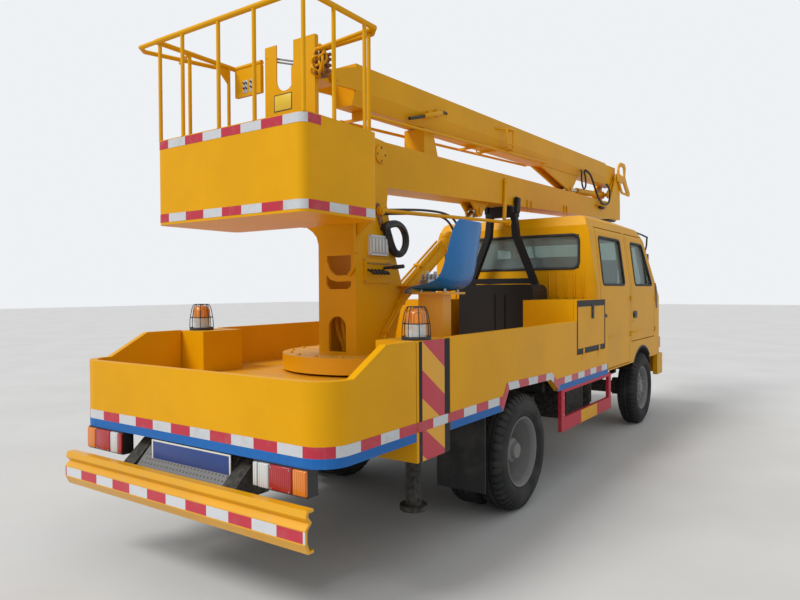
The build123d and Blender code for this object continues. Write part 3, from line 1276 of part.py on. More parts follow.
def main():
    os.makedirs("parts", exist_ok=True)
    walls = cab_walls()
    layer = glass_layer()
    save("chassis_frame", chassis_frame())
    save("rear_axle", [rear_axle()] + leaf_springs(0))
    save("front_axle", [front_axle()] + leaf_springs(WHEELBASE))
    save("driveline", [engine_block(), propshaft()])
    save("frame_boxes", [fuel_tank(), battery_box()])
    save("deck_floor", deck_floor())
    save("deck_walls", deck_walls())
    save("rear_bumper", rear_bumper())
    save("rear_step", bumper_arms() + [rear_step()])
    save("lamps", tail_lamps() + headlamps())
    save("side_guards", side_guards())
    save("mud_flaps", mud_flaps())
    save("boom_rest", boom_rest())
    save("oil_tank", oil_tank())
    save("outrigger_tubes", [outrigger_housing(), front_jack_beam()])
    save("lockers", [locker_box(1), locker_box(-1)])
    save("cab_shell", cab_shell(walls))
    save("cab_glass", [layer & rear_window_region(SEAT_GAP), layer & windshield_region(SEAT_GAP)])
    save("cab_interior", cab_seats() + [dashboard() + steering_wheel()])
    save("grille", grille())
    save("exhaust", exhaust())
    save("front_bumper", front_bumper())
    save("mirrors", mirrors())
    save("slew_base", slew_base())
    save("turntable_disc", turntable_disc() + seat_pedestal())
    save("turret", turret())
    save("operator_controls", [control_box(), control_levers()])
    save("operator_seat", operator_seat())
    save("lift_barrel", barrel(LIFT_BASE, LIFT_EYE, LIFT_PIN_R, LIFT_BARREL_R, LIFT_ROD_R, LIFT_BARREL_LENGTH))
    save("lift_rod", piston_rod(LIFT_BASE, LIFT_EYE, LIFT_PIN_R, LIFT_ROD_R))
    save("lower_boom", lower_boom())
    save("levelling_link", levelling_link())
    save("levelling_crank", levelling_crank())
    save("elbow", elbow())
    save("arm_barrel", barrel(ARM_BASE, ARM_EYE, ARM_PIN_R, ARM_BARREL_R, ARM_ROD_R, ARM_BARREL_LENGTH))
    save("arm_rod", piston_rod(ARM_BASE, ARM_EYE, ARM_PIN_R, ARM_ROD_R))
    save("upper_boom", upper_boom())
    save("basket_tub", basket_tub())
    save("basket_rails", basket_rails())
    save("basket_mount", basket_mount())
    for name, side in SIDES.items():
        save(f"beacon_{name}", beacon(side))
        save(f"locker_door_{name}", locker_door(side))
        save(f"outrigger_{name}", outrigger(name, side))
        save(f"jack_{name}", jack(side))
        save(f"front_jack_{name}", front_jack(side))
        save(f"knuckle_{name}", knuckle(side))
        save(f"front_wheel_{name}", [tyre(WHEELBASE, side * FRONT_TYRE_Y), front_rim(side)])
        twins = [tyre(0, side * REAR_TYRE_Y), tyre(0, side * (REAR_TYRE_Y - TWIN_SPACING))]
        save(f"rear_wheels_{name}", twins + [rear_rim(side)])
        for row, outline, pane in (("front", FRONT_DOOR, FRONT_PANE), ("rear", REAR_DOOR, REAR_PANE)):
            door = cab_door(walls, row, outline, pane, side)
            save(f"door_{row}_{name}", [door, door_glass(layer, pane, side)])


main()
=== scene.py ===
"""Looks of a folding-arm aerial platform truck, modelled around its fixed frame."""
import math

import bpy
from mathutils import Matrix, Vector


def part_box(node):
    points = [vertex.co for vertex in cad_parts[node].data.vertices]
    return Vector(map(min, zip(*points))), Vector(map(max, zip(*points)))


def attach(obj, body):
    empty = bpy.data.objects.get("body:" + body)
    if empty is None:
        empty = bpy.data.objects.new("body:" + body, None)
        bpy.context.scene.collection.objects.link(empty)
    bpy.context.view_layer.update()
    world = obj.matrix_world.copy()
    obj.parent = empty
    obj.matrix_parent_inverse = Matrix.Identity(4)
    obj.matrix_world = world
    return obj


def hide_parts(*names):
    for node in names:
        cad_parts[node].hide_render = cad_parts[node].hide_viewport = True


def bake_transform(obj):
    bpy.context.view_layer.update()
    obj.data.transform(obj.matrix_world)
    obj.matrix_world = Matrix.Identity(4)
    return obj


bl_info = {
    "name": "Aerial platform truck",
    "version": (1, 0, 0),
    "blender": (4, 5, 0),
    "location": "3D View > Sidebar > Truck",
    "description": "Finishes and small parts of a folding-arm aerial platform truck",
    "category": "Object",
}

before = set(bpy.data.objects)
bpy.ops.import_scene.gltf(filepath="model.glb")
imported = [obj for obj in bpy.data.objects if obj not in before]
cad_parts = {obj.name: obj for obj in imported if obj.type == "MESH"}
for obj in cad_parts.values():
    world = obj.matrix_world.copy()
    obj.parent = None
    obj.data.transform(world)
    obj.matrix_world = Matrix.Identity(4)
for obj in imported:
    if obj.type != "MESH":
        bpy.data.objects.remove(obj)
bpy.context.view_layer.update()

SIDES = {"left": 1, "right": -1}

# Wheels, deck wall and jack box, from the frame
REAR_LOW, REAR_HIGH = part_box("rear_wheels_left")
FRONT_LOW, FRONT_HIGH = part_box("front_wheel_left")
REAR_X = (REAR_LOW.x + REAR_HIGH.x) / 2
FRONT_X = (FRONT_LOW.x + FRONT_HIGH.x) / 2
WHEEL_R = (REAR_HIGH.z - REAR_LOW.z) / 2
WALL_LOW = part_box("deck_walls")[0]
TOWER_LOW, TOWER_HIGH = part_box("outrigger_left")
WALL_Y = TOWER_HIGH.y

# Small distance that keeps a film off the paint below it
FILM_GAP = 0.0002


def at(x, y, z):
    """A place whose x is measured forward from the rear axle, in metres."""
    return Vector((REAR_X + x, y, z))


def ahead(x, y, z):
    """A place whose x is measured forward from the front axle."""
    return Vector((FRONT_X + x, y, z))


def beyond(axle, points):
    """Side-view points (x, z) whose x is measured forward from an axle."""
    return [(axle + x, z) for x, z in points]


# Settings

def colour_setting(name, description, default):
    """A colour that the user may change."""
    return bpy.props.FloatVectorProperty(
        name=name, description=description, subtype="COLOR", default=default, size=3, min=0, max=1)


def length_setting(name, description, default, least):
    """A length in metres that the user may change."""
    return bpy.props.FloatProperty(
        name=name, description=description, unit="LENGTH", default=default, min=least)


def angle_setting(name, description, degrees):
    """An angle that the user may change."""
    return bpy.props.FloatProperty(
        name=name, description=description, subtype="ANGLE", default=math.radians(degrees))


class TruckColours(bpy.types.PropertyGroup):
    """Colours of the finishes."""
    yellow: colour_setting("Yellow", "Body paint", (0.74, 0.35, 0.001))
    # Deck yellow is the body yellow made a little brighter: painted light for the lit inside of the deck
    deck: colour_setting("Deck yellow", "Paint inside the deck", (0.78, 0.36, 0.001))
    blue: colour_setting("Blue", "Strip along the body's lower edge", (0.012, 0.13, 0.42))
    seat: colour_setting("Seat", "Moulded seat", (0.004, 0.16, 0.46))
    red: colour_setting("Red", "Red of tape, chevrons and guards", (0.52, 0.018, 0.045))
    white: colour_setting("White", "White of the tape", (0.62, 0.63, 0.65))
    black: colour_setting("Black", "Chassis and trestle paint", (0.018, 0.018, 0.019))
    steel: colour_setting("Rim grey", "Wheel rims", (0.20, 0.205, 0.20))


class TruckSizes(bpy.types.PropertyGroup):
    """Sizes of the added pieces."""
    tape_height: length_setting("Tape height", "Height of the reflective tape", 0.05, 0.01)
    tape_pitch: length_setting("Tape segment", "Length of one red or white segment", 0.15, 0.02)
    strip_height: length_setting("Blue strip", "Height of the blue strip", 0.045, 0.01)
    film: length_setting("Film", "How far tapes and films stand proud", 0.0008, 0.0002)
    seal: length_setting("Window seal", "Width of the rubber around a door's window", 0.025, 0.005)
    hose: length_setting("Hose radius", "Radius of the lift cylinder's hoses", 0.009, 0.002)


class TruckStage(bpy.types.PropertyGroup):
    """Camera and light."""
    lens: bpy.props.FloatProperty(name="Lens", description="Focal length, mm", default=29.297, min=5)
    yaw: angle_setting("Yaw", "Camera's turn from +X towards +Y", 34.59)
    pitch: angle_setting("Pitch", "Camera's tilt upwards", -0.855)
    roll: angle_setting("Roll", "Camera's lean", -0.334)
    place: bpy.props.FloatVectorProperty(
        name="Place", description="Camera, measured from the rear axle", subtype="TRANSLATION", size=3,
        default=(-4.0497, -2.7216, 1.4743))
    sun: bpy.props.FloatProperty(name="Sun", description="Strength of the soft sun lamp", default=2.2, min=0)
    sky: bpy.props.FloatProperty(name="Sky", description="Strength of the even light", default=0.67, min=0)


def colours():
    """The colours as the scene has them."""
    return bpy.context.scene.truck_colours


def sizes():
    """The sizes as the scene has them."""
    return bpy.context.scene.truck_sizes


# Shader maths

class Value:
    """A shader socket on which Python's arithmetic adds Math nodes."""

    def __init__(self, shader, socket):
        self.shader = shader
        self.socket = socket

    def math(self, operation, *others):
        inputs = {i: v for i, v in enumerate((self,) + others)}
        return self.shader.node("ShaderNodeMath", inputs, operation=operation)

    def __add__(self, other):
        return self.math("ADD", other)

    __radd__ = __add__

    def __sub__(self, other):
        return self.math("SUBTRACT", other)

    def __rsub__(self, other):
        return self.shader.node("ShaderNodeMath", {0: other, 1: self}, operation="SUBTRACT")

    def __mul__(self, other):
        return self.math("MULTIPLY", other)

    __rmul__ = __mul__

    def __truediv__(self, other):
        return self.math("DIVIDE", other)

    def __gt__(self, other):
        return self.math("GREATER_THAN", other)

    def __lt__(self, other):
        return self.math("LESS_THAN", other)

    def fract(self):
        return self.math("FRACT")

    def abs(self):
        return self.math("ABSOLUTE")

    def within(self, low, high):
        return (self > low) * (self < high)

    def ramp(self, low, high):
        """0 below low and 1 above high, smoothly; low may be the larger."""
        inputs = {0: self, 1: low, 2: high}
        return self.shader.node("ShaderNodeMapRange", inputs, interpolation_type="SMOOTHSTEP")


class Shader:
    """One material, or the world, and its nodes."""

    def __init__(self, name, home="materials"):
        self.owner = getattr(bpy.data, home).new(name)
        self.owner.use_nodes = True
        self.tree = self.owner.node_tree
        self.tree.nodes.clear()

    def node(self, kind, inputs=None, output=0, **settings):
        """Adds a node with its settings, and the values or links of its sockets."""
        node = self.tree.nodes.new(kind)
        for name, value in settings.items():
            setattr(node, name, value)
        for key, value in (inputs or {}).items():
            if isinstance(value, Value):
                self.tree.links.new(value.socket, node.inputs[key])
            else:
                node.inputs[key].default_value = value
        return Value(self, node.outputs[output]) if node.outputs else None

    def place(self):
        """Each point's place on the object."""
        return self.node("ShaderNodeTexCoord", output="Object")

    def uv(self):
        return self.node("ShaderNodeTexCoord", output="UV")

    def stretched(self, scale):
        """The place on the object with a scale along each axis."""
        return self.node("ShaderNodeMapping", {"Vector": self.place(), "Scale": scale})

    def axes(self, place=None):
        """The three parts of a place, or of the place on the object."""
        source = place or self.place()
        return [self.node("ShaderNodeSeparateXYZ", {0: source}, output=i) for i in range(3)]

    def noise(self, scale, detail=4.0, place=None, roughness=0.55):
        inputs = {"Vector": place or self.place(), "Scale": scale, "Detail": detail, "Roughness": roughness}
        return self.node("ShaderNodeTexNoise", inputs)

    def cells(self, scale):
        return self.node("ShaderNodeTexVoronoi", {"Vector": self.place(), "Scale": scale})

    def mix(self, factor, first, second):
        inputs = {0: factor, 6: first, 7: second}
        return self.node("ShaderNodeMix", inputs, output=2, data_type="RGBA")

    def mottled(self, colour, mask, dark, light):
        """The colour at a dark and a light level, mixed softly by a mask."""
        return self.mix(mask.ramp(0.3, 0.7), rgba(colour, dark), rgba(colour, light))

    def bump(self, height, strength, distance):
        return self.node("ShaderNodeBump", {"Height": height, "Strength": strength, "Distance": distance})

    def finish(self, **inputs):
        """Ends the material in one surface; an underscore in an input's name stands for a space."""
        named = {name.replace("_", " "): value for name, value in inputs.items()}
        surface = self.node("ShaderNodeBsdfPrincipled", named)
        self.node("ShaderNodeOutputMaterial", {0: surface})
        return self.owner


def rgba(colour, level=1.0):
    """A colour for a socket, brighter or darker by the level."""
    return (colour[0] * level, colour[1] * level, colour[2] * level, 1.0)


DUST = (0.30, 0.27, 0.22, 1.0)


def paint(name, colour, roughness=0.40, dust_top=0.9, dust=0.08, peel=0.12, coat=0.0, shine=0.14):
    """Sprayed enamel: slight unevenness, road dust low down, fine orange peel."""
    s = Shader(name)
    z = s.axes()[2]
    cloud = s.noise(1.7, 5)
    grain = s.noise(38, 3)
    streak = s.noise(3.0, 3, s.stretched((9, 9, 0.7)))
    base = s.mottled(colour, cloud, 0.94, 1.05)
    base = s.mix(streak.ramp(0.62, 0.85) * 0.10, base, rgba(colour, 0.72))
    low = z.ramp(dust_top, dust_top * 0.25) * grain.ramp(0.25, 0.75) * dust
    base = s.mix(low, base, DUST)
    rough = cloud * 0.10 + grain * 0.05 + low * 0.7 + (roughness - 0.07)
    peeling = s.bump(s.noise(210, 2), peel, 0.0006)
    return s.finish(Base_Color=base, Roughness=rough, Normal=peeling, Coat_Weight=coat, Coat_Roughness=0.12,
                    Specular_IOR_Level=shine)


def lit_worn_deck_paint():
    """Deck and turntable enamel, scuffed by boots where it faces up; its yellow is the body yellow a little
    brighter, painted light for the lit inside of the deck.
    """
    s = Shader("deck paint")
    # Painted light: the deck colour is a brighter copy of the body yellow, for the lit inside of the deck
    colour = colours().deck
    up = s.axes(s.node("ShaderNodeNewGeometry", output="Normal"))[2]
    wear = s.noise(5.5, 8, roughness=0.7)
    grain = s.noise(60, 3)
    trodden = up.ramp(0.5, 0.9) * wear.ramp(0.46, 0.66)
    base = s.mottled(colour, s.noise(1.4, 4), 0.93, 1.04)
    base = s.mix(trodden * 0.45, base, (0.42, 0.30, 0.14, 1))
    rough = trodden * 0.25 + grain * 0.10 + 0.33
    return s.finish(Base_Color=base, Roughness=rough, Normal=s.bump(grain, 0.15, 0.001), Coat_Weight=0.15)


def rubber(name, level=0.022, dust=0.35, roughness=0.72):
    """Dark rubber, grey with dust in patches."""
    s = Shader(name)
    grain = s.noise(90, 4)
    patch = s.noise(6, 5)
    dusty = patch.ramp(0.42, 0.72) * dust
    base = s.mix(dusty, (level, level, level * 1.03, 1), (0.12, 0.11, 0.095, 1))
    return s.finish(Base_Color=base, Roughness=grain * 0.15 + (roughness - 0.07),
                    Normal=s.bump(grain, 0.25, 0.0008))


def plastic(name, colour, roughness=0.3, grain_scale=160, grain=0.1):
    """Moulded plastic with a fine grain."""
    s = Shader(name)
    cloud = s.noise(3, 4)
    fine = s.noise(grain_scale, 2)
    base = s.mottled(colour, cloud, 0.92, 1.06)
    return s.finish(Base_Color=base, Roughness=cloud * 0.1 + (roughness - 0.05),
                    Normal=s.bump(fine, grain, 0.0005))


def metal(name, colour, roughness=0.3, metallic=1.0, scale=50):
    """Bare or plated metal, uneven in colour and polish."""
    s = Shader(name)
    grain = s.noise(scale, 4)
    base = s.mottled(colour, grain, 0.85, 1.08)
    return s.finish(Base_Color=base, Metallic=metallic, Roughness=grain * 0.2 + (roughness - 0.1),
                    Normal=s.bump(grain, 0.1, 0.0005))


def rusty():
    """Steel under patches of brown and orange rust."""
    s = Shader("rusty steel")
    patch = s.noise(45, 6, roughness=0.7).ramp(0.42, 0.6)
    base = s.mix(patch, (0.16, 0.055, 0.02, 1), (0.42, 0.20, 0.05, 1))
    return s.finish(Base_Color=base, Roughness=patch * 0.2 + 0.6, Normal=s.bump(patch, 0.4, 0.001))


def tape():
    """Red and white by turns along the strip's own length, with a fine cell pattern."""
    s = Shader("reflective tape")
    along = s.axes(s.uv())[0]
    red = (along / (2 * sizes().tape_pitch)).fract() < 0.5
    cell = s.node("ShaderNodeTexVoronoi", {"Vector": s.uv(), "Scale": 260.0}, feature="DISTANCE_TO_EDGE")
    dirt = s.noise(14, 5).ramp(0.5, 0.8) * 0.3
    white = s.mix(cell.ramp(0.0, 0.12), rgba(colours().white, 0.75), rgba(colours().white, 1.0))
    crimson = s.mix(cell.ramp(0.0, 0.12), rgba(colours().red, 0.8), rgba(colours().red, 1.0))
    base = s.mix(dirt, s.mix(red, white, crimson), DUST)
    return s.finish(Base_Color=base, Roughness=dirt * 0.5 + 0.28,
                    Normal=s.bump(cell.ramp(0.0, 0.08), 0.12, 0.0004))


# Tape painted on the bumper beam: its height, and how far behind the deck's wall the beam's face begins
BUMPER_TAPE_Z = (0.4445, 0.4945)
BUMPER_FACE = 0.1035


def bumper_paint():
    """Yellow enamel with the red and white tape across the beam's middle face."""
    s = Shader("bumper paint")
    x, y, z = s.axes()
    band = z.within(*BUMPER_TAPE_Z) * (x < WALL_LOW.x - BUMPER_FACE)
    red = ((y + 1.5) / (2 * sizes().tape_pitch)).fract() < 0.5
    cell = s.cells(260.0)
    cloud = s.noise(1.7, 5)
    dirt = s.noise(14, 5).ramp(0.5, 0.8) * 0.3
    enamel = s.mottled(colours().yellow, cloud, 0.94, 1.05)
    strips = s.mix(red, rgba(colours().white), rgba(colours().red))
    base = s.mix(dirt * 0.6, s.mix(band, enamel, strips), DUST)
    return s.finish(Base_Color=base, Roughness=dirt * 0.6 + 0.3, Normal=s.bump(cell * band, 0.1, 0.0004),
                    Coat_Weight=0.2)


# Chevrons: middle of the panel from the rear axle, rise of a band over its run, height of a red and a
# yellow band together, and how far the pattern is moved, in shares of that height
CHEVRON_X = -1.17
CHEVRON_RISE = 0.69
CHEVRON_PITCH = 0.29
CHEVRON_SHIFT = 0.069


def chevron(side):
    """Slanting red and yellow bands across the jack box's end plate."""
    s = Shader(f"chevrons {side}")
    x, z = s.axes()[::2]
    slope = (z + (x - (REAR_X + CHEVRON_X)) * CHEVRON_RISE) / CHEVRON_PITCH
    red = (slope + CHEVRON_SHIFT).fract() < 0.5
    dirt = s.noise(9, 5).ramp(0.45, 0.8) * 0.08
    base = s.mix(red, rgba(colours().yellow, 1.02), rgba(colours().red, 1.0))
    return s.finish(Base_Color=s.mix(dirt, base, DUST), Roughness=dirt + 0.3,
                    Normal=s.bump(s.noise(220, 2), 0.08, 0.0005))


def glass_with_painted_reflection():
    """Pale green glass, partly clear and partly a pale opaque face that is painted reflection, with a thin
    smear of dirt that adds to the face.
    """
    s = Shader("window glass")
    smear = s.noise(2.2, 5).ramp(0.45, 0.8)
    clear = s.node("ShaderNodeBsdfTransparent", {0: (0.78, 0.86, 0.83, 1)})
    # The face's pale grey-green base colour is painted reflection: it stands in for the bright sheen of the
    # panes
    face = s.node("ShaderNodeBsdfPrincipled", {
        "Base Color": (0.36, 0.43, 0.42, 1), "Roughness": smear * 0.05 + 0.04,
        "IOR": 1.5, "Specular IOR Level": 0.7})
    # About a third of the pane is the painted reflection, a little more where dirt is smeared
    blend = s.node("ShaderNodeMixShader", {0: smear * 0.08 + 0.32, 1: clear, 2: face})
    s.node("ShaderNodeOutputMaterial", {0: blend})
    return s.owner


def fabric(name, colour):
    """Woven cloth."""
    s = Shader(name)
    weave = s.noise(300, 2)
    cloud = s.noise(6, 4)
    base = s.mix(cloud.ramp(0.35, 0.65), rgba(colour, 0.8), rgba(colour, 1.15))
    return s.finish(Base_Color=base, Roughness=weave * 0.1 + 0.8, Normal=s.bump(weave, 0.3, 0.001))


def lens(name, colour, pitch=0.012):
    """Moulded lamp lens with upright flutes, its colour darker in each flute's middle and lighter at its
    edges: painted shade and highlight.
    """
    s = Shader(name)
    x, y = s.axes()[:2]
    flute = ((y + x) / pitch).fract()
    flute_ridge_and_glint = (flute - 0.5).abs() * 2
    # Painted shade and highlight: each flute is darkened in its middle and brightened towards its edges
    base = s.mix(flute_ridge_and_glint.ramp(0.1, 0.9), rgba(colour, 0.7), rgba(colour, 1.15))
    return s.finish(Base_Color=base, Roughness=flute_ridge_and_glint * 0.06 + 0.12, Normal=s.bump(flute_ridge_and_glint, 0.5, 0.002),
                    Coat_Weight=0.4)


MATERIALS = {}


def make_materials():
    """Makes every finish once, under the name that the pieces use."""
    c = colours()
    MATERIALS.update({
        "yellow": paint("yellow paint", c.yellow),
        # The deck finish carries painted light, a brighter yellow for the lit inside of the deck, besides
        # boot wear
        "deck": lit_worn_deck_paint(),
        "black": paint("black paint", c.black, 0.45, 1.0, 0.22),
        "chassis": paint("chassis paint", (0.022, 0.021, 0.020), 0.6, 1.1, 0.3),
        "blue": paint("blue paint", c.blue, dust=0.3),
        "red": paint("red paint", c.red, dust=0.3),
        "rim": paint("rim paint", c.steel, 0.42, 0.7, 0.35, coat=0.1),
        "iron": metal("dark iron", (0.07, 0.068, 0.065), 0.55, 0.6),
        "chrome": metal("plated rod", (0.62, 0.63, 0.65), 0.16, 1.0, 20),
        "steel": metal("bright steel", (0.45, 0.45, 0.46), 0.35),
        "rust": rusty(),
        "rubber": rubber("black rubber"),
        "tyre": rubber("tyre rubber", 0.014, 0.22, 0.8),
        "hose": rubber("hose rubber", 0.016, 0.1, 0.45),
        "black_plastic": plastic("black plastic", (0.02, 0.02, 0.021), 0.5, 300, 0.2),
        "blue_plastic": plastic("blue seat plastic", c.seat, 0.28, 240, 0.08),
        "white_plastic": plastic("white plastic", (0.66, 0.66, 0.63), 0.4),
        "grey_plate": plastic("grey plate", (0.42, 0.45, 0.46), 0.35),
        "blue_plate": plastic("blue plate", (0.02, 0.05, 0.20), 0.35),
        "tape": tape(),
        "glass": glass_with_painted_reflection(),
        "amber": lens("amber lens", (0.80, 0.24, 0.01)),
        "red_lens": lens("red lens", (0.42, 0.006, 0.012)),
        "orange_lens": lens("orange lens", (0.75, 0.20, 0.01)),
        "white_lens": lens("white lens", (0.62, 0.62, 0.60)),
        "headlamp": lens("headlamp glass", (0.50, 0.53, 0.55), 0.03),
        "seat_cloth": fabric("seat cloth", (0.055, 0.056, 0.06)),
        "trim": plastic("cab trim", (0.07, 0.07, 0.072), 0.6, 260, 0.2),
        "bumper": bumper_paint(),
        "label": plastic("label yellow", (0.80, 0.55, 0.03), 0.4),
        "mirror": metal("mirror glass", (0.80, 0.82, 0.83), 0.12, 1.0, 4),
        "tread_plate": metal("tread plate", (0.16, 0.155, 0.15), 0.6, 0.5, 160),
        "chevron_left": chevron("left"),
        "chevron_right": chevron("right"),
    })


# Modelling

# Edges that turn by more degrees than this are bevelled and shaded sharp
SHARP_ANGLE = 35


def clear():
    """Leaves edit mode and deselects everything."""
    if bpy.context.object and bpy.context.object.mode != "OBJECT":
        bpy.ops.object.mode_set(mode="OBJECT")
    bpy.ops.object.select_all(action="DESELECT")


def pick(piece):
    """Selects one piece and makes it the active one."""
    clear()
    piece.select_set(True)
    bpy.context.view_layer.objects.active = piece
    return piece


def settle(name):
    """Names the newest object and puts its place into its mesh."""
    piece = bpy.context.object
    bpy.ops.object.transform_apply(location=True, rotation=True, scale=True)
    piece.name = name
    piece.data.name = name
    return piece


def apply(piece, kind, **settings):
    """Adds a modifier to a piece and applies it."""
    pick(piece)
    modifier = piece.modifiers.new(kind.lower(), kind)
    for name, value in settings.items():
        setattr(modifier, name, value)
    bpy.ops.object.modifier_apply(modifier=modifier.name)
    return piece


def soften(piece, width, segments=2):
    """Bevels a piece's sharp edges where a width is given."""
    if width:
        apply(piece, "BEVEL", width=width, segments=segments, limit_method="ANGLE",
              angle_limit=math.radians(SHARP_ANGLE))
    return piece


def block(name, low, high, bevel=0.0, segments=2):
    """A box between two corners."""
    clear()
    low, high = Vector(low), Vector(high)
    spans = [abs(b - a) for a, b in zip(low, high)]
    bpy.ops.mesh.primitive_cube_add(size=1, location=(low + high) / 2, scale=spans)
    return soften(settle(name), bevel, segments)


def rod(name, start, end, radius, tip=None, sides=20, bevel=0.0):
    """A round bar between two places; with a tip it tapers to that radius."""
    clear()
    start, end = Vector(start), Vector(end)
    way = end - start
    bpy.ops.mesh.primitive_cone_add(
        vertices=sides, radius1=radius, radius2=radius if tip is None else tip, depth=way.length,
        location=(start + end) / 2, rotation=way.to_track_quat("Z", "Y").to_euler())
    return soften(settle(name), bevel)


def spread(axis, point, depth):
    """A point of an outline, in the plane across the axis, at a depth along it."""
    a, b = point
    return {"x": (depth, a, b), "y": (a, depth, b), "z": (a, b, depth)}[axis]


def plate(name, outline, axis, low, high, bevel=0.0, segments=2):
    """An outline extruded along an axis from low to high."""
    clear()
    bpy.ops.mesh.primitive_circle_add(vertices=len(outline), fill_type="NGON")
    piece = bpy.context.object
    for vertex, point in zip(piece.data.vertices, outline):
        vertex.co = spread(axis, point, low)
    bpy.ops.object.mode_set(mode="EDIT")
    bpy.ops.mesh.select_all(action="SELECT")
    bpy.ops.mesh.extrude_region_move(TRANSFORM_OT_translate={"value": spread(axis, (0, 0), high - low)})
    bpy.ops.mesh.select_all(action="SELECT")
    bpy.ops.mesh.normals_make_consistent(inside=False)
    bpy.ops.object.mode_set(mode="OBJECT")
    return soften(settle(name), bevel, segments)


def lathe(name, profile, centre, axis=(0, 1, 0), steps=64):
    """A closed outline of (radius, depth) points turned about an axis through the centre."""
    clear()
    axis = Vector(axis).normalized()
    out = axis.orthogonal().normalized()
    bpy.ops.mesh.primitive_circle_add(vertices=len(profile))
    piece = bpy.context.object
    for vertex, (radius, depth) in zip(piece.data.vertices, profile):
        vertex.co = Vector(centre) + out * radius + axis * depth
    bpy.ops.object.mode_set(mode="EDIT")
    bpy.ops.mesh.select_all(action="SELECT")
    bpy.ops.mesh.spin(steps=steps, angle=math.tau, center=centre, axis=axis)
    bpy.ops.mesh.select_all(action="SELECT")
    bpy.ops.mesh.remove_doubles(threshold=0.00005)
    bpy.ops.mesh.normals_make_consistent(inside=False)
    bpy.ops.object.mode_set(mode="OBJECT")
    return settle(name)


def tube(name, points, radius, smooth=True, sides=3, cyclic=False):
    """A round tube along points, made as a curve and turned into a mesh."""
    clear()
    data = bpy.data.curves.new(name, "CURVE")
    data.dimensions = "3D"
    data.bevel_depth = radius
    data.bevel_resolution = sides
    data.resolution_u = 8
    data.use_fill_caps = not cyclic
    spline = data.splines.new("NURBS" if smooth else "POLY")
    spline.points.add(len(points) - 1)
    for knot, point in zip(spline.points, points):
        knot.co = (*point, 1)
    if smooth:
        spline.order_u = 3
        spline.use_endpoint_u = not cyclic
    spline.use_cyclic_u = cyclic
    piece = bpy.data.objects.new(name, data)
    bpy.context.scene.collection.objects.link(piece)
    pick(piece)
    bpy.ops.object.convert(target="MESH")
    return settle(name)


def merge(name, pieces):
    """Joins pieces into one mesh."""
    pick(pieces[0])
    for piece in pieces[1:]:
        piece.select_set(True)
    bpy.ops.object.join()
    piece = bpy.context.object
    piece.name = name
    piece.data.name = name
    return piece


def copies(piece, matrices):
    """Copies of a piece, each with its own mesh, moved by the matrices."""
    made = []
    for matrix in matrices:
        copy = piece.copy()
        copy.data = piece.data.copy()
        bpy.context.scene.collection.objects.link(copy)
        copy.data.transform(matrix)
        made.append(copy)
    return made


def about(centre, axis, angle):
    """A turn by an angle about an axis through a centre."""
    place = Matrix.Translation(Vector(centre))
    return place @ Matrix.Rotation(angle, 4, Vector(axis)) @ place.inverted()


def ring(name, piece, count, centre, axis):
    """The piece repeated round an axis, as one mesh."""
    turns = [about(centre, axis, math.tau * i / count) for i in range(1, count)]
    return merge(name, [piece] + copies(piece, turns))


def cut(piece, cutter):
    """Takes a cutter's space out of a piece and removes the cutter."""
    apply(piece, "BOOLEAN", operation="DIFFERENCE", solver="EXACT", object=cutter)
    bpy.data.objects.remove(cutter)
    return piece


def dress(piece, material, body=None, smooth=SHARP_ANGLE):
    """Gives a piece its finish and, unless it bends between two, the body that it rides on."""
    pick(piece)
    piece.data.materials.clear()
    piece.data.materials.append(MATERIALS[material])
    if smooth:
        bpy.ops.object.shade_smooth_by_angle(angle=math.radians(smooth))
    if body:
        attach(piece, body)
    return piece


# Finishes of the frame's pieces; those that aren't listed are yellow
NODE_FINISH = {
    "bumper": ("rear_bumper",),
    # deck_floor and turntable_disc take the deck yellow, whose extra brightness is painted light
    "deck": ("deck_floor", "turntable_disc"),
    "chassis": ("chassis_frame", "rear_axle", "front_axle", "driveline", "frame_boxes", "rear_step",
                "knuckle_left", "knuckle_right", "slew_base"),
    "black": ("boom_rest", "oil_tank", "jack_left", "jack_right", "front_jack_left", "front_jack_right"),
    "red": ("side_guards",),
    "rubber": ("mud_flaps",),
    "chrome": ("lift_rod", "arm_rod"),
    "glass": ("cab_glass",),
    "seat_cloth": ("cab_interior",),
    "black_plastic": ("mirrors", "grille", "lamps"),
    "blue_plastic": ("operator_seat",),
    "iron": ("exhaust",),
    "amber": ("beacon_left", "beacon_right"),
    "tyre": ("front_wheel_left", "front_wheel_right", "rear_wheels_left", "rear_wheels_right"),
}

# Places at which a finish changes within one node
BEACON_FOOT_TOP = 1.2285
BEACON_COLLAR_TOP = 1.3012
ARCH_PAINT_TOP = 0.9495
CONTROLS_BOX_FOOT = 1.69
CONTROLS_BANK_FACE = -0.1652
DASHBOARD_X = 3.45


def finish_nodes():
    """Gives every node of the frame its finish, and some of them a second one on part of their faces."""
    finishes = {name: material for material, names in NODE_FINISH.items() for name in names}
    for name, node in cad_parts.items():
        node.data.materials.clear()
        node.data.materials.append(MATERIALS[finishes.get(name, "yellow")])
    for row in ("front", "rear"):
        for side in SIDES:
            finish_door(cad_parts[f"door_{row}_{side}"])
    for side in SIDES:
        zones(f"beacon_{side}", (("black_plastic", lambda c: c.z < BEACON_FOOT_TOP),
                                 ("white_plastic", lambda c: c.z < BEACON_COLLAR_TOP)))
    zones("deck_floor", (("chassis", lambda c: c.z < ARCH_PAINT_TOP),))
    zones("outrigger_tubes", (("chassis", lambda c: c.x > REAR_X),))
    zones("operator_controls", (("white_plastic", lambda c: c.z > CONTROLS_BOX_FOOT),
                                ("black_plastic", lambda c: c.y < CONTROLS_BANK_FACE)))
    zones("cab_interior", (("trim", lambda c: c.x > REAR_X + DASHBOARD_X),))


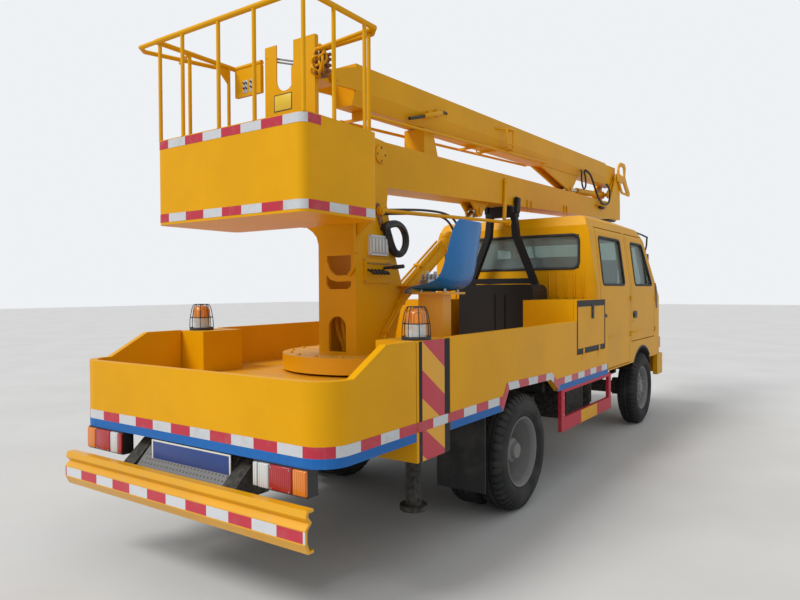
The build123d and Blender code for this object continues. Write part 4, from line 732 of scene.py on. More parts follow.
def zones(name, rules):
    """Gives faces of a node another finish where a rule holds for their centre; the first rule wins."""
    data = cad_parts[name].data
    for material, _ in rules:
        data.materials.append(MATERIALS[material])
    for polygon in data.polygons:
        for index, (_, rule) in enumerate(rules):
            if rule(polygon.center):
                polygon.material_index = index + 1
                break


def loose_parts(data):
    """The mesh's connected groups of vertices, joined where they lie at one place."""
    place = {}
    group = list(range(len(data.vertices)))

    def root(i):
        """The vertex that stands for a vertex's group."""
        while group[i] != i:
            group[i] = group[group[i]]
            i = group[i]
        return i

    for vertex in data.vertices:
        key = tuple(round(v, 5) for v in vertex.co)
        other = place.setdefault(key, vertex.index)
        group[root(vertex.index)] = root(other)
    for edge in data.edges:
        group[root(edge.vertices[0])] = root(edge.vertices[1])
    return [root(i) for i in range(len(data.vertices))]


def finish_door(node):
    """A door's panel is painted and its pane is glass: the pane is the smaller solid."""
    data = node.data
    data.materials.clear()
    data.materials.append(MATERIALS["yellow"])
    data.materials.append(MATERIALS["glass"])
    roots = loose_parts(data)
    pane = min(set(roots), key=roots.count)
    for polygon in data.polygons:
        polygon.material_index = 1 if roots[polygon.vertices[0]] == pane else 0


# Shapes on the body's outline

def strip(name, low, high, thick):
    """A thin sheet between two rows of points, its UV in metres along and across."""
    clear()
    count = len(low)
    bpy.ops.mesh.primitive_grid_add(x_subdivisions=count - 1, y_subdivisions=1, size=1)
    piece = bpy.context.object
    run = [0.0]
    for a, b in zip(low, low[1:]):
        run.append(run[-1] + (Vector(b) - Vector(a)).length)
    spots = {}
    for vertex in piece.data.vertices:
        column = round((vertex.co.x + 0.5) * (count - 1))
        row = low if vertex.co.y < 0 else high
        spots[vertex.index] = (run[column], (Vector(row[column]) - Vector(low[column])).length)
        vertex.co = row[column]
    layer = piece.data.uv_layers.active.data
    for loop in piece.data.loops:
        layer[loop.index].uv = spots[loop.vertex_index]
    settle(name)
    return apply(piece, "SOLIDIFY", thickness=thick, offset=0)


def ribbon(name, path, low, high, thick):
    """A thin upright strip along plan points (x, y)."""
    return strip(name, [(*p, low) for p in path], [(*p, high) for p in path], thick)


def beside(points, distance):
    """A row of 2-D points moved to its left by a distance, mitred at its corners."""
    moved = []
    last = len(points) - 1
    for i, point in enumerate(points):
        sides = []
        for a, b in ((points[max(i - 1, 0)], point), (point, points[min(i + 1, last)])):
            way = Vector(b) - Vector(a)
            if way.length:
                sides.append(Vector((-way.y, way.x)).normalized())
        middle = (sides[0] + sides[-1]).normalized()
        moved.append(Vector(point) + middle * (distance / middle.dot(sides[0])))
    return moved


def arc(centre, radius, start, end, steps=8):
    """Plan points on a circle, between two angles in degrees."""
    turns = [math.radians(start + (end - start) * i / steps) for i in range(steps + 1)]
    return [(centre[0] + radius * math.cos(t), centre[1] + radius * math.sin(t)) for t in turns]


def rounded(outline, radius, steps=6):
    """A closed outline of 2-D points with its corners rounded."""
    made = []
    for i, corner in enumerate(outline):
        here = Vector(corner)
        back = (Vector(outline[i - 1]) - here).normalized()
        on = (Vector(outline[(i + 1) % len(outline)]) - here).normalized()
        start, end = here + back * radius, here + on * radius
        for step in range(steps + 1):
            t = step / steps
            made.append(start * (1 - t) ** 2 + here * 2 * t * (1 - t) + end * t ** 2)
    return made


def rear_wall_path(gap):
    """Plan of the deck's wall from the right jack box round the rear to the left one."""
    corner = 0.15
    x, y = WALL_LOW.x + corner, WALL_Y - corner
    right = arc((x, -y), corner + gap, 270, 180)
    left = arc((x, y), corner + gap, 180, 90)
    end = TOWER_LOW.x - 0.006
    return [(end, -WALL_Y - gap)] + right + left + [(end, WALL_Y + gap)]


def side_path(x0, x1, side, gap):
    """Plan of a straight run along the deck's side."""
    return [(REAR_X + x, side * (WALL_Y + gap)) for x in (x0, x1)]


# Lower edge of the tape along the top of a wheel arch, as (x from the rear axle, z)
ARCH = ((-0.345, 0.722), (-0.262, 0.836), (0.450, 0.820), (0.600, 0.722))


def body_tapes():
    """Tape over a blue strip round the deck, and tape along the wheel arches."""
    low = WALL_LOW.z
    middle = low + sizes().strip_height
    top = middle + sizes().tape_height
    film = sizes().film
    tapes = [ribbon("rear_tape", rear_wall_path(film), middle, top, film)]
    blues = [ribbon("rear_strip", rear_wall_path(film), low, middle, film)]
    for side in SIDES.values():
        for x0, x1 in ((-0.999, -0.355), (0.575, 1.808)):
            tapes.append(ribbon("side_tape", side_path(x0, x1, side, film), middle, top, film))
            blues.append(ribbon("side_strip", side_path(x0, x1, side, film), low, middle, film))
        y = side * (WALL_Y + 2.5 * film)
        rows = [[(REAR_X + x, y, z) for x, z in row] for row in (ARCH, beside(ARCH, sizes().tape_height))]
        tapes.append(strip("arch_tape", rows[0], rows[1], film))
    dress(merge("deck_tape", tapes), "tape", "truck", smooth=0)
    dress(merge("deck_blue_strip", blues), "blue", "truck", smooth=0)


def panel_film(name, span, face, side, thick):
    """A thin film over the span (x0, x1, z0, z1) of a side face, x measured from the rear axle."""
    x0, x1, z0, z1 = span
    outline = beyond(REAR_X, ((x0, z0), (x1, z0), (x1, z1), (x0, z1)))
    inside = face + FILM_GAP
    return plate(name, outline, "y", side * inside, side * (inside + thick))


def jack_box_films():
    """Chevrons between black edges on each jack box, crossed by the tape."""
    z0, z1 = TOWER_LOW.z, TOWER_HIGH.z
    low = WALL_LOW.z + sizes().strip_height
    film = sizes().film
    for name, side in SIDES.items():
        body = f"outrigger_{name}"
        panel = panel_film(f"chevrons_{name}", (-1.28, -1.06, z0, z1), WALL_Y, side, film)
        dress(panel, f"chevron_{name}", body, 0)
        edges = [panel_film("edge", (x0, x1, z0, z1), WALL_Y, side, film)
                 for x0, x1 in ((-1.309, -1.28), (-1.06, -1.005))]
        dress(merge(f"jack_box_edges_{name}", edges), "black", body, 0)
        path = side_path(-1.329, -1.006, side, 0.0022)
        band = ribbon(f"jack_box_tape_{name}", path, low, low + sizes().tape_height, film)
        dress(band, "tape", body, 0)


def basket_tapes():
    """Two bands of tape round the basket's tub."""
    lowest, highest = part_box("basket_tub")
    corner, film = 0.055, sizes().film
    x, y = lowest.x + corner, highest.y - corner
    start = arc((x, y), corner + film, 90, 180)
    turn = arc((x, -y), corner + film, 180, 270)
    wide = start + turn + [(highest.x - 0.04, -highest.y - film)]
    short = start + turn + [(lowest.x + 0.12, -highest.y - film)]
    height = 0.047
    foot, head = lowest.z + 0.014, highest.z - 0.005
    bands = [ribbon("band", wide, foot, foot + height, film),
             ribbon("band", short, head - height, head, film)]
    dress(merge("basket_tape", bands), "tape", "basket", 0)


class TRUCK_OT_tapes(bpy.types.Operator):
    """Lay the reflective tape, the blue strip and the chevrons"""
    bl_idname = "truck.tapes"
    bl_label = "Tapes"

    def execute(self, context):
        body_tapes()
        jack_box_films()
        basket_tapes()
        return {"FINISHED"}


# Wheels

REAR_TYRES_Y = (0.842, 0.606)
FRONT_TYRE_Y = 0.768
AXLE_WAY = (0, 1, 0)

# Half of a tyre's outline from its middle, and a shoulder lug, as (distance across, drop below the crown)
TREAD = ((0.014, 0.0), (0.016, 0.010), (0.024, 0.010), (0.026, 0.0), (0.032, 0.0), (0.034, 0.010),
         (0.052, 0.011))
WALL = ((0.070, 0.020), (0.082, 0.036), (0.0955, 0.050), (0.0995, 0.075), (0.1, 0.095), (0.0975, 0.115),
        (0.0955, 0.119), (0.092, 0.122), (0.086, 0.140), (0.072, 0.155), (0.066, 0.1652))
LUG = ((0.034, 0.0), (0.052, 0.0), (0.070, 0.008), (0.090, 0.040), (0.084, 0.048), (0.060, 0.022),
       (0.034, 0.014))
LUGS = 46
LUG_HALF = 0.0175

# Radius of the rims' barrel, which the tyres' beads hide
BARREL_R = 0.2215


def tyre(name, x, y):
    """Tyre with two ribs, three grooves and a row of lugs on each shoulder."""
    half = [(WHEEL_R - drop, depth) for depth, drop in TREAD + WALL]
    profile = half + [(r, -d) for r, d in reversed(half)]
    centre = (x, y, WHEEL_R)
    pieces = [lathe(name, profile, centre, steps=80)]
    for way in (1, -1):
        outline = [(y + way * d, 2 * WHEEL_R - drop) for d, drop in LUG]
        lug = plate("lug", outline, "x", x - LUG_HALF, x + LUG_HALF, 0.0015, 1)
        if way < 0:
            lug.data.transform(about(centre, AXLE_WAY, math.pi / LUGS))
        pieces.append(ring("lugs", lug, LUGS, centre, AXLE_WAY))
    return merge(name, pieces)


def nuts(name, x, y, side, radius):
    """A ring of six wheel nuts on their studs, pointing outwards."""
    place = Vector((x, y, WHEEL_R + radius))
    out = Vector((0, side, 0))
    size = 0.0135
    nut = rod("nut", place - out * 0.002, place + out * 0.018, size, sides=6, bevel=0.0015)
    stud = rod("stud", place, place + out * 0.030, size * 0.55, sides=10, bevel=0.001)
    return ring(name, merge("stud_nut", [nut, stud]), 6, (x, y, WHEEL_R), AXLE_WAY)


def holes(rim, x, y, radius, size):
    """Cuts a ring of eight round holes through the rim's disc."""
    z = WHEEL_R + radius
    cutter = rod("hole", (x, y - 0.05, z), (x, y + 0.05, z), size, sides=24)
    return cut(rim, ring("holes", cutter, 8, (x, y, WHEEL_R), AXLE_WAY))


def bead(outer, way=1):
    """Rolled lip of a rim's edge, as (radius, place along the axle)."""
    return [(0.222, outer - way * 0.004), (0.232, outer - way * 0.002), (0.2335, outer + way * 0.003),
            (0.229, outer + way * 0.0065), (0.222, outer + way * 0.003), (0.216, outer - way * 0.006)]


def turned_rim(name, x, side, ends, inner, outer):
    """A rim turned from the disc's inner face, the lips and barrel between its ends, and its outer face."""
    low, high = ends
    barrel = [(BARREL_R, low + 0.03), (BARREL_R, high - 0.03)]
    profile = inner + list(reversed(bead(low, -1))) + barrel + bead(high) + outer
    return lathe(name, [(r, side * d) for r, d in profile], (x, 0, WHEEL_R), steps=72)


def rear_rim(name, side):
    """Twin rims seen deep: rolled lips, stepped barrel and a dished disc with holes."""
    y = REAR_TYRES_Y[0]
    low, high = 0.528, 0.918
    disc = 0.724
    inner = [(0.043, disc - 0.088), (0.084, disc - 0.088), (0.086, disc - 0.016), (0.125, disc - 0.014),
             (0.160, disc - 0.006), (0.190, disc - 0.012), (0.206, disc - 0.020), (0.206, low + 0.030)]
    outer = [(0.207, high - 0.022), (0.203, high - 0.032), (0.203, high - 0.075), (0.197, high - 0.085),
             (0.197, disc + 0.030), (0.186, disc + 0.014), (0.160, disc + 0.020), (0.125, disc + 0.012),
             (0.086, disc + 0.012), (0.084, y - 0.02), (0.080, y + 0.008), (0.058, y + 0.020),
             (0.055, y + 0.036), (0.048, y + 0.0435), (0.0, y + 0.0435), (0.0, y + 0.02), (0.043, y + 0.018)]
    rim = turned_rim(name, REAR_X, side, (low, high), inner, outer)
    return holes(rim, REAR_X, side * disc, 0.145, 0.022)


def front_rim(name, side):
    """Rim whose disc bulges outwards round the hub, with round holes."""
    low, high = FRONT_TYRE_Y - 0.076, FRONT_TYRE_Y + 0.076
    disc = 0.808
    inner = [(0.035, low + 0.022), (0.084, low + 0.022), (0.086, disc - 0.016), (0.120, disc - 0.014),
             (0.165, disc - 0.022), (0.198, disc - 0.034), (0.208, disc - 0.040), (0.208, low + 0.03)]
    outer = [(0.209, high - 0.020), (0.204, high - 0.030), (0.200, disc - 0.018), (0.165, disc - 0.006),
             (0.125, disc + 0.004), (0.086, disc + 0.004), (0.084, disc + 0.018), (0.078, disc + 0.022),
             (0.060, disc + 0.022), (0.056, disc + 0.030), (0.048, disc + 0.034), (0.0, disc + 0.034),
             (0.0, disc + 0.02), (0.035, disc + 0.018)]
    rim = turned_rim(name, FRONT_X, side, (low, high), inner, outer)
    return holes(rim, FRONT_X, side * disc, 0.158, 0.024)


def wheels():
    """Tyres and rims in place of the frame's plain wheels, and the nuts on them."""
    for name, side in SIDES.items():
        body = f"rear_wheels_{name}"
        pair = [tyre("tyre", REAR_X, side * y) for y in REAR_TYRES_Y]
        tyres = dress(merge(f"rear_tyres_{name}", pair), "tyre", body)
        rim = dress(rear_rim(f"rear_rims_{name}", side), "rim", body)
        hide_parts(body)
        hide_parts(body)
        dress(nuts(f"rear_nuts_{name}", REAR_X, side * 0.736, side, 0.106), "steel", body)
        body = f"front_wheel_{name}"
        tyres = dress(tyre(f"front_tyre_{name}", FRONT_X, side * FRONT_TYRE_Y), "tyre", body)
        rim = dress(front_rim(f"front_rim_{name}", side), "rim", body)
        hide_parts(body)
        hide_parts(body)
        dress(nuts(f"front_nuts_{name}", FRONT_X, side * 0.811, side, 0.108), "steel", body)


class TRUCK_OT_wheels(bpy.types.Operator):
    """Model the tyres with their tread and the rims with holes and nuts"""
    bl_idname = "truck.wheels"
    bl_label = "Wheels"

    def execute(self, context):
        wheels()
        return {"FINISHED"}


# Deck

def slab(name, x0, x1, y0, y1, z0, z1, bevel=0.0, segments=2):
    """A block whose x is measured from the rear axle."""
    return block(name, at(x0, y0, z0), at(x1, y1, z1), bevel, segments)


def bar(name, start, end, radius, tip=None, sides=16, bevel=0.0):
    """A round bar between two places whose x is measured from the rear axle."""
    return rod(name, at(*start), at(*end), radius, tip, sides, bevel)


def pipe(name, points, radius, smooth=True, sides=3, cyclic=False):
    """A tube along points whose x is measured from the rear axle."""
    return tube(name, [at(*p) for p in points], radius, smooth, sides, cyclic)


def border(low, high, side, foot, head, lap=0.0):
    """Four strips (u0, u1, v0, v1) along a rectangle's edges: its foot, its head and both sides."""
    (u0, v0), (u1, v1) = low, high
    between = (v0 + foot - lap, v1 - head + lap)
    return [(u0, u1, v0, v0 + foot), (u0, u1, v1 - head, v1), (u0, u0 + side, *between),
            (u1 - side, u1, *between)]


# A tail lamp's lenses, as (finish, inner and outer distance from the middle)
TAIL_LENSES = (("orange_lens", 0.757, 0.837), ("red_lens", 0.617, 0.752), ("white_lens", 0.545, 0.612))


def tail_lamps():
    """Lenses on both tail lamps with a reflector inboard, the wiring boot and the bracket behind."""
    rear = -2.014
    for name, side in SIDES.items():
        for material, y0, y1 in TAIL_LENSES:
            cover = slab(f"{material}_{name}", rear - 0.012, rear + 0.02, side * y0, side * y1, 0.598, 0.709,
                         0.006, 3)
            dress(cover, material, "truck")
        inboard = "red_lens" if side > 0 else "white_lens"
        reflector = slab(f"inner_lens_{name}", rear - 0.010, rear + 0.02, side * 0.511, side * 0.541,
                         0.600, 0.707, 0.005, 3)
        dress(reflector, inboard, "truck")
        screws = [bar("screw", (rear - 0.0145, side * y, z), (rear - 0.005, side * y, z), 0.004, sides=10)
                  for y in (0.63, 0.74) for z in (0.606, 0.701)]
        dress(merge(f"lens_screws_{name}", screws), "steel", "truck")
        boot = bar("boot", (-1.955, side * 0.62, 0.65), (-1.915, side * 0.62, 0.65), 0.028, 0.018, 16, 0.004)
        hanger = slab("hanger", -1.955, -1.948, side * 0.56, side * 0.80, 0.60, 0.736, 0.002)
        dress(merge(f"lamp_hanger_{name}", [boot, hanger]), "black_plastic", "truck")


def sign_plate():
    """Blank blue plate with a pale border under the rear wall, on two straps."""
    face = slab("sign_plate", -2.006, -2.003, -0.335, 0.25, 0.592, 0.700, 0.001)
    dress(face, "blue_plate", "truck")
    edge = [slab("edge", -2.0075, -2.002, *span, 0.001)
            for span in border((-0.345, 0.584), (0.26, 0.708), 0.010, 0.008, 0.008)]
    dress(merge("sign_plate_border", edge), "white_plastic", "truck")
    straps = [slab("strap", -2.003, -1.985, y - 0.02, y + 0.02, 0.600, 0.716, 0.001) for y in (-0.25, 0.16)]
    dress(merge("sign_plate_straps", straps), "chassis", "truck")


def step_tread():
    """Tread plate on the slanting step, with rows of small studs."""
    a, b = Vector((-2.055, 0.555)), Vector((-1.905, 0.715))
    way = (b - a).normalized()
    up = Vector((-way.y, way.x))
    a, b = a + way * 0.004, b - way * 0.004
    corners = [a + up * 0.0003, b + up * 0.0003, b + up * 0.003, a + up * 0.003]
    sheet = plate("sheet", beyond(REAR_X, corners), "y", -0.338, 0.338)
    place = a + way * 0.012 + up * 0.0025
    start = Vector((REAR_X + place.x, -0.325, place.y))
    stud = rod("stud", start, start + Vector((up.x, 0, up.y)) * 0.0035, 0.006, 0.0035, 8)
    along, across = 0.025, 0.026
    moves = [Matrix.Translation((way.x * along * i, across * (j + 0.5 * (i % 2)), way.y * along * i))
             for i in range(8) for j in range(25) if i or j]
    tread = merge("step_tread", [sheet, stud] + copies(stud, moves))
    dress(tread, "tread_plate", "truck")


def guard_panels():
    """Yellow middle of the side guards and the bolts that hold the guards."""
    for name, side in SIDES.items():
        face = 0.943
        film = panel_film(f"guard_panel_{name}", (1.10, 1.50, 0.397, 0.498), face, side, 0.0010)
        dress(film, "yellow", "truck", 0)
        inside, outside = side * (face - 0.002), side * (face + 0.005)
        bolts = [bar("bolt", (x, inside, z), (x, outside, z), 0.008, sides=6, bevel=0.001)
                 for x in (0.70, 1.868) for z in (0.52, 0.65)]
        dress(merge(f"guard_bolts_{name}", bolts), "steel", "truck")


def beacon_guards():
    """Wire guard round each beacon: three hoops and eight bent wires."""
    wide, middle, narrow = 0.0765, 0.0725, 0.046
    thick = 0.0026
    for name, side in SIDES.items():
        low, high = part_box(f"beacon_{name}")
        centre = Vector(((low.x + high.x) / 2, (low.y + high.y) / 2, low.z))
        hoops = []
        for radius, height in ((wide, 0.016), (middle, 0.085), (narrow, 0.172)):
            path = [(x, y, centre.z + height) for x, y in arc(centre, radius, 0, 345, 23)]
            hoops.append(tube("hoop", path, thick, False, 2, True))
        bend = ((wide, 0.014), (0.0755, 0.060), (middle, 0.085), (0.064, 0.135), (0.054, 0.165),
                (narrow, 0.172))
        wire = tube("wire", [centre + Vector((r, 0, h)) for r, h in bend], thick, True, 2)
        wires = ring("wires", wire, 8, centre, (0, 0, 1))
        cap = rod("cap", centre + Vector((0, 0, 0.166)), centre + Vector((0, 0, 0.174)), 0.012, 0.008, 14)
        hub = centre + Vector((0, 0, 0.170))
        spokes = [rod("spoke", hub, centre + Vector((narrow * x, narrow * y, 0.172)), 0.0024, sides=8)
                  for x, y in ((1, 0), (0, 1), (-1, 0), (0, -1))]
        guard = merge(f"beacon_guard_{name}", hoops + [wires, cap] + spokes)
        dress(guard, "black_plastic", f"outrigger_{name}")


def locker_trim():
    """Black bands round each locker door and its latch."""
    for name, side in SIDES.items():
        body = f"locker_door_{name}"
        bands = [panel_film("band", span, WALL_Y, side, 0.0011)
                 for span in border((1.0, 0.955), (1.722, 1.385), 0.022, 0.042, 0.052)]
        dress(merge(f"locker_bands_{name}", bands), "black", body, 0)
        key_x, key_z = 1.382, 1.318
        inside, proud = side * (WALL_Y + 0.005), side * (WALL_Y + 0.0105)
        case = slab("case", 1.352, 1.412, side * WALL_Y, side * (WALL_Y + 0.007), 1.228, 1.345, 0.003)
        bow = slab("bow", 1.362, 1.402, side * (WALL_Y + 0.004), proud, 1.238, 1.288, 0.003)
        key = bar("key", (key_x, inside, key_z), (key_x, proud, key_z), 0.011, sides=18)
        latch = merge(f"locker_latch_{name}", [case, bow, key])
        dress(latch, "black_plastic", body)


# Turntable's turning axis, and the top of its disc
SLEW_X = -0.52
DISC_TOP = 1.065


def deck_bolts():
    """Bolt heads and washers on the turntable's ring."""
    centre = at(SLEW_X, 0, 0)
    place = centre + Vector((0.505, 0, DISC_TOP))
    foot = place - Vector((0, 0, 0.001))
    bolt = rod("bolt", foot, place + Vector((0, 0, 0.011)), 0.013, sides=6, bevel=0.0015)
    washer = rod("washer", foot, place + Vector((0, 0, 0.002)), 0.018, sides=18)
    bolts = ring("turntable_bolts", merge("bolt", [bolt, washer]), 18, centre, (0, 0, 1))
    dress(bolts, "deck", "turntable")


class TRUCK_OT_deck(bpy.types.Operator):
    """Model the lamps, plate, step, guards, beacons, locker trim and bolts"""
    bl_idname = "truck.deck"
    bl_label = "Deck fittings"

    def execute(self, context):
        tail_lamps()
        sign_plate()
        step_tread()
        guard_panels()
        beacon_guards()
        locker_trim()
        deck_bolts()
        return {"FINISHED"}


# Turntable and turret

# Seat's middle line from the pan's front lip to the top of the back, as (y, z), and for each of its points
# half the seat's width and how far its edge curls
SEAT_LINE = ((-0.280, 1.448), (-0.292, 1.464), (-0.350, 1.476), (-0.440, 1.470), (-0.530, 1.470),
             (-0.595, 1.482), (-0.638, 1.515), (-0.662, 1.580), (-0.674, 1.680), (-0.684, 1.780),
             (-0.694, 1.880), (-0.700, 1.926))
SEAT_HALF = (0.165, 0.188, 0.200, 0.206, 0.210, 0.212, 0.212, 0.208, 0.204, 0.200, 0.188, 0.150)
SEAT_CURL = (0.004, 0.008, 0.022, 0.040, 0.060, 0.078, 0.082, 0.070, 0.052, 0.038, 0.022, 0.008)
SEAT_X = -0.29


def seat_shell():
    """One moulded shell of pan, bend and back, its edges turned towards the sitter."""
    clear()
    rows, columns = len(SEAT_LINE), 13
    bpy.ops.mesh.primitive_grid_add(x_subdivisions=columns - 1, y_subdivisions=rows - 1, size=1)
    piece = bpy.context.object
    for vertex in piece.data.vertices:
        across = vertex.co.x * 2
        row = round((vertex.co.y + 0.5) * (rows - 1))
        y, z = SEAT_LINE[row]
        (y0, z0), (y1, z1) = SEAT_LINE[max(row - 1, 0)], SEAT_LINE[min(row + 1, rows - 1)]
        way = Vector((y1 - y0, z1 - z0)).normalized()
        curl = SEAT_CURL[row] * abs(across) ** 3.2
        vertex.co = at(SEAT_X + across * SEAT_HALF[row], y + way.y * curl, z - way.x * curl)
    settle("seat_shell")
    apply(piece, "SOLIDIFY", thickness=0.008, offset=0)
    apply(piece, "SUBSURF", levels=2)
    dress(piece, "blue_plastic", "turntable", 60)
    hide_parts("operator_seat")
    corners = [(x, y) for x in (-0.40, -0.24) for y in (-0.38, -0.56)]
    feet = [bar("foot", (x, y, 1.455), (x, y, 1.474), 0.012, sides=12) for x, y in corners]
    bolts = [bar("bolt", (x, y, 1.474), (x, y, 1.484), 0.009, sides=6) for x, y in corners]
    dress(merge("seat_feet", feet + bolts), "steel", "turntable")


# Places of the short levers along the bank, and the face of the blank box above it
LEVERS_X = (-0.705, -0.667, -0.629, -0.591, -0.553)
CONTROL_FACE = -0.179
BANK_FACE = -0.164


def control_fittings():
    """Louvres on the blank box, knobs and spindles of the levers, and the grip of the long handle."""
    face = CONTROL_FACE
    back = slab("control_backing", -0.684, -0.506, face, face - 0.0016, 1.714, 1.826, 0.0005)
    dress(back, "grey_plate", "turntable")
    ribs = [slab("rib", x - 0.009, x + 0.009, face - 0.001, face - 0.008, 1.724, 1.816, 0.003)
            for x in (-0.667, -0.631, -0.595, -0.559, -0.523)]
    dress(merge("control_louvres", ribs), "white_plastic", "turntable")
    knobs = [bar("knob", (x, -0.200, 1.5935), (x, -0.226, 1.5825), 0.013, 0.010, 14, 0.004) for x in LEVERS_X]
    grip = bar("grip", (-0.516, -0.228, 1.6265), (-0.499, -0.308, 1.6325), 0.015, 0.013, 16, 0.004)
    dress(merge("lever_knobs", knobs + [grip]), "black_plastic", "turntable")
    spindles = [bar("spindle", (x, BANK_FACE, 1.652), (x, -0.196, 1.644), 0.006, 0.004, 12, 0.001)
                for x in LEVERS_X + (-0.515, -0.48)]
    screws = [bar("screw", (x, BANK_FACE, z), (x, BANK_FACE - 0.004, z), 0.006, sides=6)
              for x in (-0.73, -0.47) for z in (1.534, 1.67)]
    screws += [bar("screw", (x, face + 0.002, z), (x, face - 0.003, z), 0.005, sides=10)
               for x in (-0.688, -0.502) for z in (1.710, 1.830)]
    dress(merge("lever_spindles", spindles + screws), "steel", "turntable")


# Thick bundle of hose beside the turret, as (x, z)
LOOP = ((-0.548, 1.905), (-0.500, 1.925), (-0.420, 1.938), (-0.340, 1.922), (-0.288, 1.870), (-0.278, 1.800),
        (-0.312, 1.738), (-0.375, 1.708), (-0.440, 1.718), (-0.482, 1.772), (-0.515, 1.840))


def turret_hoses():
    """Bracket beside the turret with the coiled hoses that hang from it."""
    outline = beyond(REAR_X, ((-0.645, 2.050), (-0.572, 2.050), (-0.545, 1.975), (-0.528, 1.892),
                              (-0.562, 1.892), (-0.592, 1.960)))
    bracket = plate("hose_bracket", outline, "y", -0.1555, -0.1655, 0.002, 1)
    dress(bracket, "rust", "turntable")
    middle = Vector((-0.412, 1.822))
    turns = []
    for size, y in ((1.0, -0.186), (0.84, -0.196), (0.92, -0.172)):
        points = [middle + (Vector(p) - middle) * size for p in LOOP]
        turns.append(pipe("turn", [(p.x, y, p.y) for p in points], 0.0155, cyclic=True))
    clip = bar("clip", (-0.535, -0.150, 1.895), (-0.535, -0.205, 1.895), 0.026, sides=14, bevel=0.004)
    dress(merge("hose_coil", turns + [clip]), "hose", "turntable")


def turret_pipes():
    """Painted pipes on the turret's plates and hoses inside its arch, with their clamps."""
    x = -0.832
    rear = ((x, -0.150, 2.010), (x, -0.158, 1.900), (x, -0.160, 1.700), (x, -0.156, 1.630),
            (x, -0.128, 1.590), (-0.825, -0.108, 1.575))
    pipes = [pipe("rear_pipe", rear, 0.011)]
    for y in (-0.166, -0.190):
        edge = ((-0.300, y, 1.455), (-0.352, y, 1.390), (-0.440, y, 1.290), (-0.540, y, 1.200),
                (-0.590, y, 1.120), (-0.600, y, 1.060))
        pipes.append(pipe("edge_pipe", edge, 0.0115))
    for y, bow in ((0.052, 0.06), (0.022, 0.03)):
        arch = ((-0.690, y + bow, 1.420), (-0.700, y + bow, 1.290), (-0.700, y + bow * 0.8, 1.200),
                (-0.690, y, 1.110), (-0.680, y, 1.060))
        pipes.append(pipe("arch_hose", arch, 0.017))
    clamps = [bar("clamp", (-0.819, -0.158, z), (-0.846, -0.158, z), 0.017, sides=12) for z in (1.72, 1.92)]
    clamps += [bar("clamp", (x, -0.154, z), (x, -0.206, z), 0.016, sides=12)
               for x, z in ((-0.352, 1.390), (-0.540, 1.200))]
    dress(merge("turret_pipes", pipes + clamps), "yellow", "turntable")


def swivel_joint():
    """Swivel for the oil on the turntable's axis, inside the turret's arch."""
    swivel = bar("swivel", (SLEW_X, 0, 1.064), (SLEW_X, 0, 1.180), 0.062, sides=28, bevel=0.006)
    cap = bar("cap", (SLEW_X, 0, 1.180), (SLEW_X, 0, 1.215), 0.038, sides=20, bevel=0.004)
    dress(merge("swivel_joint", [swivel, cap]), "iron", "turntable")


# Boom's pivot through the turret
PIVOT_X = -0.552
PIVOT_Z = 2.376


def pivot_caps():
    """Retaining plates with four bolts over both ends of the boom's pivot."""
    for name, side in SIDES.items():
        inside, outside = (PIVOT_X, side * 0.154, PIVOT_Z), (PIVOT_X, side * 0.168, PIVOT_Z)
        cap = bar(f"pivot_cap_{name}", inside, outside, 0.060, sides=32, bevel=0.002)
        dress(cap, "yellow", "turntable")
        place = at(PIVOT_X, side * 0.167, PIVOT_Z + 0.044)
        bolt = rod("bolt", place, place + Vector((0, side * 0.0045, 0)), 0.009, sides=6, bevel=0.001)
        bolts = ring(f"pivot_bolts_{name}", bolt, 4, at(PIVOT_X, 0, PIVOT_Z), (0, 1, 0))
        dress(bolts, "rust", "turntable")


def valve_group():
    """Valve block with its unions, on a bracket in front of the turret's right plate."""
    shelf = slab("shelf", -0.360, 0.125, -0.262, -0.156, 1.500, 1.508, 0.001)
    rib = plate("rib", beyond(REAR_X, ((-0.30, 1.42), (-0.30, 1.50), (0.06, 1.50))), "y", -0.164, -0.156)
    dress(merge("valve_shelf", [shelf, rib]), "yellow", "turntable")
    core = slab("core", -0.110, 0.105, -0.250, -0.172, 1.508, 1.552, 0.004)
    unions = [bar("union", (x, y, 1.550), (x, y, 1.592), 0.013, 0.011, 6, 0.002)
              for x in (-0.085, -0.03, 0.025, 0.08) for y in (-0.232, -0.190)]
    unions += [bar("union", (x, -0.248, 1.530), (x, -0.275, 1.530), 0.011, 0.009, 6, 0.002)
               for x in (-0.06, 0.0, 0.06)]
    dress(merge("valve_block", [core] + unions), "steel", "turntable")
    caps = [bar("cap", (x, -0.211, 1.551), (x, -0.211, 1.612), 0.018, 0.014, 18, 0.006)
            for x in (-0.058, 0.052)]
    dress(merge("valve_caps", caps), "white_plastic", "turntable")


class TRUCK_OT_turntable(bpy.types.Operator):
    """Model the seat, the controls, the hoses and the valves on the turntable"""
    bl_idname = "truck.turntable"
    bl_label = "Turntable fittings"

    def execute(self, context):
        seat_shell()
        control_fittings()
        turret_hoses()
        turret_pipes()
        swivel_joint()
        pivot_caps()
        valve_group()
        return {"FINISHED"}


# Arm and basket

# Lift cylinder at rest: its lower eye and its direction
LIFT_BASE = Vector((-0.450, 0, 1.205))
LIFT_WAY = Vector((0.8423, 0, 0.5390))

# Ports of the two hoses, as distances along the barrel, and how far they stand above its middle
PORTS = (1.10, 1.18)
PORT_OFF = -0.002


def on_barrel(distance, off=0.0, y=0.0):
    """A place beside the lift cylinder: a distance along it and one square to it, upwards."""
    return LIFT_BASE + LIFT_WAY * distance + Vector((-LIFT_WAY.z, 0, LIFT_WAY.x)) * off + Vector((0, y, 0))


